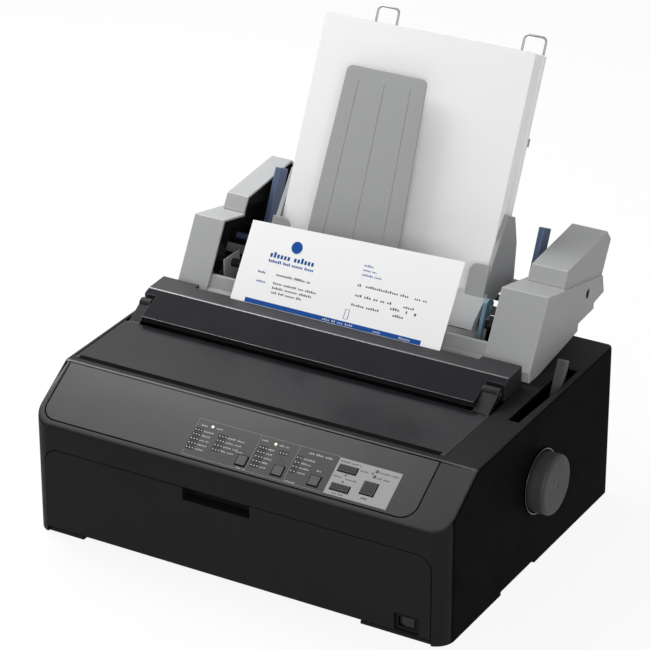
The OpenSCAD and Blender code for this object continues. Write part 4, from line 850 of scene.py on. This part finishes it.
def buildCollar(c):
    # square ring turned about the knob's axis; its outer corner is a quarter circle of
    # (rise, outer) - corner + corner * (sin, cos)
    t = np.linspace(0, np.pi / 2, 5)
    roundX = c["rise"] - c["corner"] + c["corner"] * np.sin(t)
    roundR = c["outer"] - c["corner"] + c["corner"] * np.cos(t)
    x = np.concatenate([[c["sunk"], c["sunk"]], roundX, [c["rise"]]]) + halfWidth
    r = np.concatenate([[c["inner"], c["outer"]], roundR, [c["inner"]]])
    angle = np.linspace(0, 2 * np.pi, c["sides"], endpoint=False)
    y = knob["centre"][0] + r[:, None] * np.cos(angle)
    z = knob["centre"][1] + r[:, None] * np.sin(angle)
    points = toFrame(np.stack([x[:, None] + 0 * y, y, z], -1)).reshape(-1, 3)
    return points, gridFaces(len(x), c["sides"], True, True)


newPiece("knobCollar", *buildCollar(collar), "collarPlastic", "printer", slotOf["upper_case"])
print("knob: done")

# wire sheet supports, in the stack's leaning frame
wires = dict(width=24.0, radius=1.1, off=29.4, top=295.4, length=184.0, corner=4.5,
             centres={"left": -59.5, "right": 91.4})


def roundedLoop(halfW, low, high, corner, steps=7):
    # rectangle with quarter circles of centre + corner * (cos, sin) at its corners, as one path
    quarter = np.arange(4)[:, None]
    a = np.linspace(0, np.pi / 2, steps)[None] + quarter * np.pi / 2
    centreX = np.where((quarter == 0) | (quarter == 3), 1, -1) * (halfW - corner)
    centreZ = np.where(quarter < 2, high - corner, low + corner)
    return (centreX + corner * np.cos(a)).ravel(), (centreZ + corner * np.sin(a)).ravel()


for side, centre in wires["centres"].items():
    x, z = roundedLoop(wires["width"] / 2 - wires["radius"], wires["top"] - wires["length"],
                       wires["top"], wires["corner"])
    points, faces = sweep(inStack(centre + x, wires["off"], z), wires["radius"])
    wire = newPiece(side + "WireSupport", toFrame(points), faces, "wireSteel",
                    side + "_wire_support", "wire_steel")
    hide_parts(side + "_wire_support")
print("wires: done")

# paper: the loaded stack, in bundles of a few sheets
paper = dict(width=215.9, length=279.4, thick=24.6, layers=62, jitter=0.35, most=0.8,
             inset=0.2, gap=0.02, seed=4)


def buildStack(p):
    # two rings round each bundle, joined one after the next; a bundle moves sideways and down by
    # a normal draw held within +- most
    rng = np.random.default_rng(p["seed"])
    n = p["layers"]
    y = np.linspace(0, p["thick"], n + 1)
    rows = np.stack([y[:-1] + p["gap"], y[1:] - p["gap"]], 1).ravel()
    dx = np.repeat(np.clip(rng.normal(0, p["jitter"], n), -p["most"], p["most"]), 2)
    dz = np.repeat(np.clip(rng.normal(0, p["jitter"], n), -p["most"], p["most"]) - p["most"], 2)
    dx[:2] = 0
    cornerX = np.array([-1, 1, 1, -1]) * (p["width"] / 2 - p["inset"])
    top = np.array([0.0, 0.0, 1.0, 1.0])
    x = cornerX[None] + dx[:, None]
    z = top[None] * (p["length"] + dz[:, None])
    points = inStack(x, rows[:, None] + 0 * x, z).reshape(-1, 3)
    faces = gridFaces(len(rows), 4, False, True)[:, ::-1].tolist()
    last = (len(rows) - 1) * 4
    faces += [[0, 1, 2, 3], [last + 3, last + 2, last + 1, last]]
    return points, faces


points, faces = buildStack(paper)
stack = newPiece("paperStack", toFrame(points), faces, "stackPaper", "printer", "paper",
                 smooth=False)
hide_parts("paper_stack")

# the page on its way out: exit lip and tip as (y, z), bend and tail as lengths below the lip
page = dict(width=215.9, thick=0.2, endLeft=72.8, endRight=79.6, exit=(200.0, 167.9),
            tip=(243.0, 231.5), bend=92.8, tail=100.0, wave=0.25, waveFrom=70.0)
exitY, exitZ = page["exit"]
along = np.array([page["tip"][0] - exitY, page["tip"][1] - exitZ])
along /= np.linalg.norm(along)


def pagePlace(u, t, h):
    # u across from the sheet's middle, t along it from the exit lip, h towards the front
    u, t, h = np.broadcast_arrays(u, t, h)
    low = np.minimum(t + page["bend"], 0)  # below the bend the sheet hangs straight down the roller
    on = t + page["bend"] - low
    y = exitY + along[0] * (on - page["bend"]) - h * along[1] * (on > 0) - h * (on <= 0)
    z = exitZ + along[1] * (on - page["bend"]) + low + h * along[0] * (on > 0)
    return np.stack([stackOrigin[0] + u, y, z], -1)


def buildPage(p):
    # two grids, front and back, closed round their rim; the sheet waves by
    # wave * sin(5 u) * (length / waveFrom) ** 2 off its plane above the exit lip
    u = np.linspace(-0.5, 0.5, 25)
    t = np.linspace(0, 1, 33)
    uu, tt = np.meshgrid(u, t, indexing="ij")
    end = p["endLeft"] + (p["endRight"] - p["endLeft"]) * (uu + 0.5)
    length = -p["tail"] + (end + p["tail"]) * tt
    wave = p["wave"] * np.sin(uu * 5.0) * np.clip(length / p["waveFrom"], 0, 1) ** 2
    front = pagePlace(uu * p["width"], length, p["thick"] / 2 + wave)
    back = pagePlace(uu * p["width"], length, -p["thick"] / 2 + wave)
    rows, cols = uu.shape
    grid = gridFaces(rows, cols)
    total = rows * cols
    index = np.arange(total).reshape(rows, cols)
    rim = np.concatenate([index[:, 0], index[-1, 1:], index[-2::-1, -1], index[0, -2:0:-1]])
    after = np.roll(rim, -1)
    wall = np.stack([rim, rim + total, after + total, after], 1)
    faces = np.concatenate([grid[:, ::-1], grid + total, wall])
    return np.concatenate([front.reshape(-1, 3), back.reshape(-1, 3)]), faces


points, faces = buildPage(page)
sheet = newPiece("printedPage", toFrame(points), faces, "pagePaper", "printer", "paper",
                 smooth=False)
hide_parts("printed_page")


def greeked(u0, u1, v, height, seed, pitch=1.6, words=(3, 8)):
    # a line of type as letter-sized ticks in word-sized runs, each tick a pitch after the last
    rng = np.random.default_rng(seed)
    rects, u = [], u0
    while u < u1 - pitch:
        count = rng.integers(*words)
        for _ in range(count):
            if u > u1 - pitch * 0.7:
                break
            tall = height * (1.0 if rng.random() < 0.3 else 0.7)
            rects.append((u, u + pitch * 0.62, v, v + tall))
            u += pitch
        u += pitch * 0.9
    return rects


def onPage(u, v, h):
    # the printed face of the page, in the frame
    return toFrame(pagePlace(u, v, h))


def greekedLines(lines):
    # all the ticks of several lines, each given as the settings of greeked
    return sum((greeked(*line) for line in lines), [])


# print on the page: bars as (u0, u1, v0, v1), lines as
# (u0, u1, v, height, seed, pitch, least and most ticks in a word)
pageTop = page["thick"] / 2 + 0.02
pagePrint = dict(
    bars=dict(
        blue=[(-93.2, 88.0, -1.6, 2.7), (7.8, 8.3, 4.9, 13.9), (11.8, 12.3, 4.9, 13.9),
              (7.8, 12.3, 13.6, 13.9), (7.8, 12.3, 4.9, 5.2)],
        black=[(66.0, 67.2, 22.6, 25.0), (74.4, 76.2, 22.4, 24.8)]),
    blue=[(-80.5, -33.0, 43.6, 5.0, 1, 3.6, (5, 8)), (-80.5, -33.0, 38.9, 2.6, 2, 1.9),
          (-87.9, -79.2, 27.4, 1.9, 3), (-87.0, -75.2, 19.0, 1.9, 4),
          (14.0, 67.0, 55.0, 2.0, 5), (14.0, 62.0, 50.8, 2.0, 6), (14.2, 36.0, 46.5, 2.0, 7)],
    black=[(-69.0, -32.5, 28.0, 2.1, 8, 1.9, (4, 11)), (-69.8, -25.2, 20.0, 2.0, 9, 1.9),
           (-69.5, -27.0, 15.7, 2.0, 10, 1.9), (-69.0, -36.0, 11.4, 2.0, 11, 1.9),
           (12.8, 18.0, 36.3, 2.4, 12, 2.0), (21.2, 64.5, 36.6, 2.2, 13, 2.2, (9, 16)),
           (70.5, 84.5, 36.4, 2.0, 14, 2.2), (13.2, 52.0, 27.1, 2.2, 15, 2.4, (2, 4)),
           (62.3, 75.6, 27.0, 2.0, 16, 2.2), (12.0, 42.5, 18.2, 2.0, 17, 2.2, (4, 7)),
           (50.2, 61.4, 22.8, 2.3, 18, 2.4), (54.4, 64.8, 17.4, 2.2, 19, 2.2)],
    pale=[(-12.0, 20.0, -0.6, 2.0, 20, 2.0, (2, 5)), (40.0, 51.0, -0.6, 2.0, 21, 2.0),
          (66.0, 78.0, -0.6, 2.0, 22, 2.0)],
    disc=(-56.4, 57.0), discRadius=5.6, sunk=-0.01, rise=0.06, paleRise=0.1)
inkLow, inkHigh = pageTop + pagePrint["sunk"], pageTop + pagePrint["rise"]
blue, black = (slabs(pagePrint["bars"][tone] + greekedLines(pagePrint[tone]), onPage, inkLow,
                     inkHigh) for tone in ("blue", "black"))
emblem = discs([pagePrint["disc"]], pagePrint["discRadius"], onPage, inkLow, inkHigh, 32)
newPiece("pageBluePrint", *join(blue, emblem), "inkBlue", "printer", "paper", smooth=False)
newPiece("pageBlackPrint", *black, "inkBlack", "printer", "paper", smooth=False)
newPiece("pagePalePrint", *slabs(greekedLines(pagePrint["pale"]), onPage, pageTop + 0.04,
                                 pageTop + pagePrint["paleRise"]),
         "inkPale", "printer", "paper", smooth=False)
print("paper: done")


def table(u0, v0, cols, rows, du=2.9, dv=4.55):
    # the points (u0 + column * du, v0 + row * dv) of a small table
    c, r = np.meshgrid(np.arange(cols), np.arange(rows))
    return np.stack([u0 + c.ravel() * du, v0 + r.ravel() * dv], 1)


def platedRects(box, holes):
    # cut the box into a grid along every hole's sides and leave out the cells inside a hole
    cuts = [sorted({*box[:2]} | {c + s * w / 2 for c, _, w, _ in holes for s in (-1, 1)}),
            sorted({*box[2:]} | {c + s * h / 2 for _, c, _, h in holes for s in (-1, 1)})]
    cells = [(u0, u1, v0, v1) for u0, u1 in zip(cuts[0], cuts[0][1:])
             for v0, v1 in zip(cuts[1], cuts[1][1:])]
    inside = [any(abs((c[0] + c[1]) / 2 - x) < w / 2 and abs((c[2] + c[3]) / 2 - y) < h / 2
                  for x, y, w, h in holes) for c in cells]
    return [c for c, hole in zip(cells, inside) if not hole]


# print on the control panel: rectangles as (u0, u1, v0, v1), lines as on the page,
# tables as (u0, v0, columns, rows)
panelPrint = dict(
    frames=[(-54.4, 85.4, 45.6, 46.0), (-54.4, 85.4, 9.0, 9.4), (-54.4, -54.0, 9.0, 46.0),
            (8.2, 8.6, 9.0, 46.0), (46.3, 46.7, 9.0, 46.0)],
    tables=[(-53.0, 16.6, 3, 5), (-28.6, 20.8, 3, 4), (11.9, 16.4, 3, 5), (32.0, 34.4, 3, 1),
            (48.8, 21.0, 2, 4)],
    cell=(1.4, 1.9), dotRadius=0.62,
    text=[(-49.6, -43.0, 39.4, 1.5, 31), (-34.5, -27.0, 39.8, 1.5, 32),
          (10.5, 18.0, 41.0, 1.5, 33), (28.0, 37.0, 40.2, 1.5, 34),
          (57.0, 80.5, 40.6, 1.9, 35, 1.8), (-7.0, 2.0, 23.8, 1.4, 36),
          (0.0, 9.0, 9.6, 1.2, 81), (48.0, 59.0, 9.9, 1.2, 82), (71.0, 75.5, 26.6, 1.4, 83)])
newPiece("panelLines", *slabs(panelPrint["frames"], onPanel, -0.02, 0.05), "panelLine", "printer",
         "panel_plastic", smooth=False)
dots = np.concatenate([table(*t) for t in panelPrint["tables"]])
halfU, halfV = panelPrint["cell"]
cells = dots[:, [0, 0, 1, 1]] + [-halfU, halfU, -halfV, halfV]
newPiece("tableCells", *slabs(cells, onPanel, -0.02, 0.06), "dotDark", "printer", "panel_plastic",
         smooth=False)
newPiece("tableDots", *discs(dots, panelPrint["dotRadius"], onPanel, 0.04, 0.1, 10), "dotPale",
         "printer", "panel_plastic", smooth=False)
ink = greekedLines(panelPrint["text"])
for row in range(5):
    ink += greeked(-44.5, -36.0 + row % 3, 16.0 + row * 4.5, 1.4, 40 + row)
    ink += greeked(19.8, 26.5 + row % 3, 15.8 + row * 4.5, 1.4, 50 + row)
for row in range(4):
    ink += greeked(-20.5, -6.5 + row, 20.2 + row * 4.5, 1.4, 60 + row)
    ink += greeked(54.8, 63.0 + row, 20.4 + row * 4.5, 1.4, 70 + row)
newPiece("panelPrint", *slabs(ink, onPanel, -0.02, 0.05), "panelInk", "printer", "panel_plastic",
         smooth=False)

# keys and lamps as (middle u, middle v, width, height), and the pale label round the grey keys
panelKeys = dict(
    dark=[(1.8, 17.5, 8.8, 8.8), (37.6, 17.5, 8.8, 8.8), (73.2, 17.5, 8.8, 8.8)],
    grey=[(97.1, 36.0, 16.4, 5.6), (98.1, 17.6, 16.4, 5.4), (123.0, 24.0, 11.8, 11.4)],
    lamps=[(122.6, 41.2, 2.7, 2.7), (122.6, 36.0, 2.7, 2.7)],
    label=(85.6, 145.4, 9.4, 45.3), labelGap=0.6, keyShadowGap=0.7, rim=(1.0, 1.1, 1.2, 0.8))
labelHoles = [(u, v, w + panelKeys["labelGap"], h + panelKeys["labelGap"])
              for u, v, w, h in panelKeys["grey"]] + panelKeys["lamps"]
newPiece("labelPlate", *slabs(platedRects(panelKeys["label"], labelHoles), onPanel, -0.02, 0.12),
         "labelFace", "printer", "panel_plastic", smooth=False)
# dark rims round every key: painted shadow at the keys' edges
left, right, below, above = panelKeys["rim"]
keyShadows = sum([platedRects((u - w / 2 - left, u + w / 2 + right, v - h / 2 - below,
                         v + h / 2 + above),
                        [(u, v, w + panelKeys["keyShadowGap"], h + panelKeys["keyShadowGap"])])
            for u, v, w, h in panelKeys["dark"] + panelKeys["grey"]], [])
newPiece("keyShadowRims", *slabs(keyShadows, onPanel, -0.02, 0.16), "feltBlack", "printer", "panel_plastic",
         smooth=False)
labelPrint = dict(
    text=[(87.2, 108.0, 41.6, 1.7, 91), (108.2, 117.5, 37.4, 1.5, 92),
          (124.8, 144.0, 40.2, 1.6, 93), (125.2, 138.0, 34.6, 1.6, 94),
          (87.3, 97.0, 26.8, 1.5, 95), (99.0, 111.5, 26.2, 1.5, 96),
          (93.0, 104.0, 10.8, 1.5, 97), (119.5, 127.5, 13.2, 1.6, 98)],
    dots=[(119.8, 38.4), (97.7, 30.3), (97.9, 23.6)], dotRadius=1.0)
newPiece("labelPrint", *join(slabs(greekedLines(labelPrint["text"]), onPanel, 0.1, 0.17),
                             discs(labelPrint["dots"], labelPrint["dotRadius"], onPanel, 0.1,
                                   0.17, 10)),
         "labelInk", "printer", "panel_plastic", smooth=False)
print("panel print: done")

# floor, light and camera
studio = dict(floorHalf=6.0, floorTone=0.9, floorGlow=0.9, ambient=0.35)


def directRays(t):
    # 1 for rays from the camera and for those that gloss or clear plastic sends on
    path = t.tree.nodes.new("ShaderNodeLightPath")
    seen = t.math("MAXIMUM", path.outputs["Is Camera Ray"], path.outputs["Is Glossy Ray"])
    return t.math("MAXIMUM", seen, path.outputs["Is Transmission Ray"])


def mixShaders(t, share, first, second, surface):
    # first * (1 - share) + second * share, into the output's surface
    mixer = t.tree.nodes.new("ShaderNodeMixShader")
    t.put(share, mixer.inputs["Fac"])
    t.put(first.outputs[0], mixer.inputs[1])
    t.put(second.outputs[0], mixer.inputs[2])
    t.put(mixer.outputs[0], surface)


def buildFloor(half):
    # a plain square well past the view, white where the camera and reflections look
    mesh = bpy.data.meshes.new("studioFloor")
    mesh.from_pydata([(-half, -half, 0), (half, -half, 0), (half, half, 0), (-half, half, 0)], [],
                     [(0, 1, 2, 3)])
    floor = bpy.data.objects.new("studioFloor", mesh)
    bpy.context.scene.collection.objects.link(floor)
    material = bpy.data.materials.new("floorWhite")
    material.use_nodes = True
    tree = material.node_tree
    tree.nodes.clear()
    out = tree.nodes.new("ShaderNodeOutputMaterial")
    diffuse = tree.nodes.new("ShaderNodeBsdfDiffuse")
    diffuse.inputs["Color"].default_value = (studio["floorTone"],) * 3 + (1,)
    glow = tree.nodes.new("ShaderNodeEmission")
    glow.inputs["Strength"].default_value = 1.0
    t = Tree(tree)
    mixShaders(t, t.math("MULTIPLY", directRays(t), studio["floorGlow"]), diffuse, glow,
               out.inputs["Surface"])
    mesh.materials.append(material)


def buildWorld():
    # white where it is seen, and a weaker even light on the object
    world = bpy.data.worlds.new("studioWorld")
    bpy.context.scene.world = world
    world.use_nodes = True
    tree = world.node_tree
    tree.nodes.clear()
    out = tree.nodes.new("ShaderNodeOutputWorld")
    backdrop = tree.nodes.new("ShaderNodeBackground")
    backdrop.inputs["Color"].default_value = (1, 1, 1, 1)
    ambient = tree.nodes.new("ShaderNodeBackground")
    ambient.inputs["Color"].default_value = (1, 1, 1, 1)
    ambient.inputs["Strength"].default_value = studio["ambient"]
    t = Tree(tree)
    mixShaders(t, directRays(t), ambient, backdrop, out.inputs["Surface"])


buildFloor(studio["floorHalf"])
buildWorld()


def softbox(name, place, aim, size, power):
    # an area light at place that faces aim, in metres and watts
    light = bpy.data.lights.new(name, "AREA")
    light.shape = "RECTANGLE"
    light.size, light.size_y = size
    light.energy = power
    lamp = bpy.data.objects.new(name, light)
    bpy.context.scene.collection.objects.link(lamp)
    lamp.location = place
    lamp.rotation_euler = (Vector(aim) - Vector(place)).to_track_quat("-Z", "Y").to_euler()


lights = {
    "keyBox": dict(place=(-0.9, 0.25, 1.15), aim=(0.0, 0.0, 0.15), size=(0.8, 0.9), power=21),
    "frontFill": dict(place=(1.4, -2.1, 1.1), aim=(0.0, 0.0, 0.2), size=(1.8, 1.2), power=25),
}
for name, settings in lights.items():
    softbox(name, **settings)

camera = bpy.data.objects.new("camera", bpy.data.cameras.new("camera"))
bpy.context.scene.collection.objects.link(camera)
view = dict(azimuth=30.106, pitch=25.997, roll=-0.071, lens=167.8, sensor=36.0, farthest=50.0,
            place=(1.1908, -2.1124, 1.3513))
turn = (Matrix.Rotation(math.radians(view["azimuth"]), 4, "Z")
        @ Matrix.Rotation(math.radians(90 - view["pitch"]), 4, "X")
        @ Matrix.Rotation(math.radians(view["roll"]), 4, "Z"))
camera.matrix_world = Matrix.Translation(view["place"]) @ turn
camera.data.lens = view["lens"]
camera.data.sensor_width = view["sensor"]
camera.data.clip_end = view["farthest"]
bpy.context.scene.camera = camera
bpy.context.scene.view_settings.view_transform = "Standard"
print("stage: done")
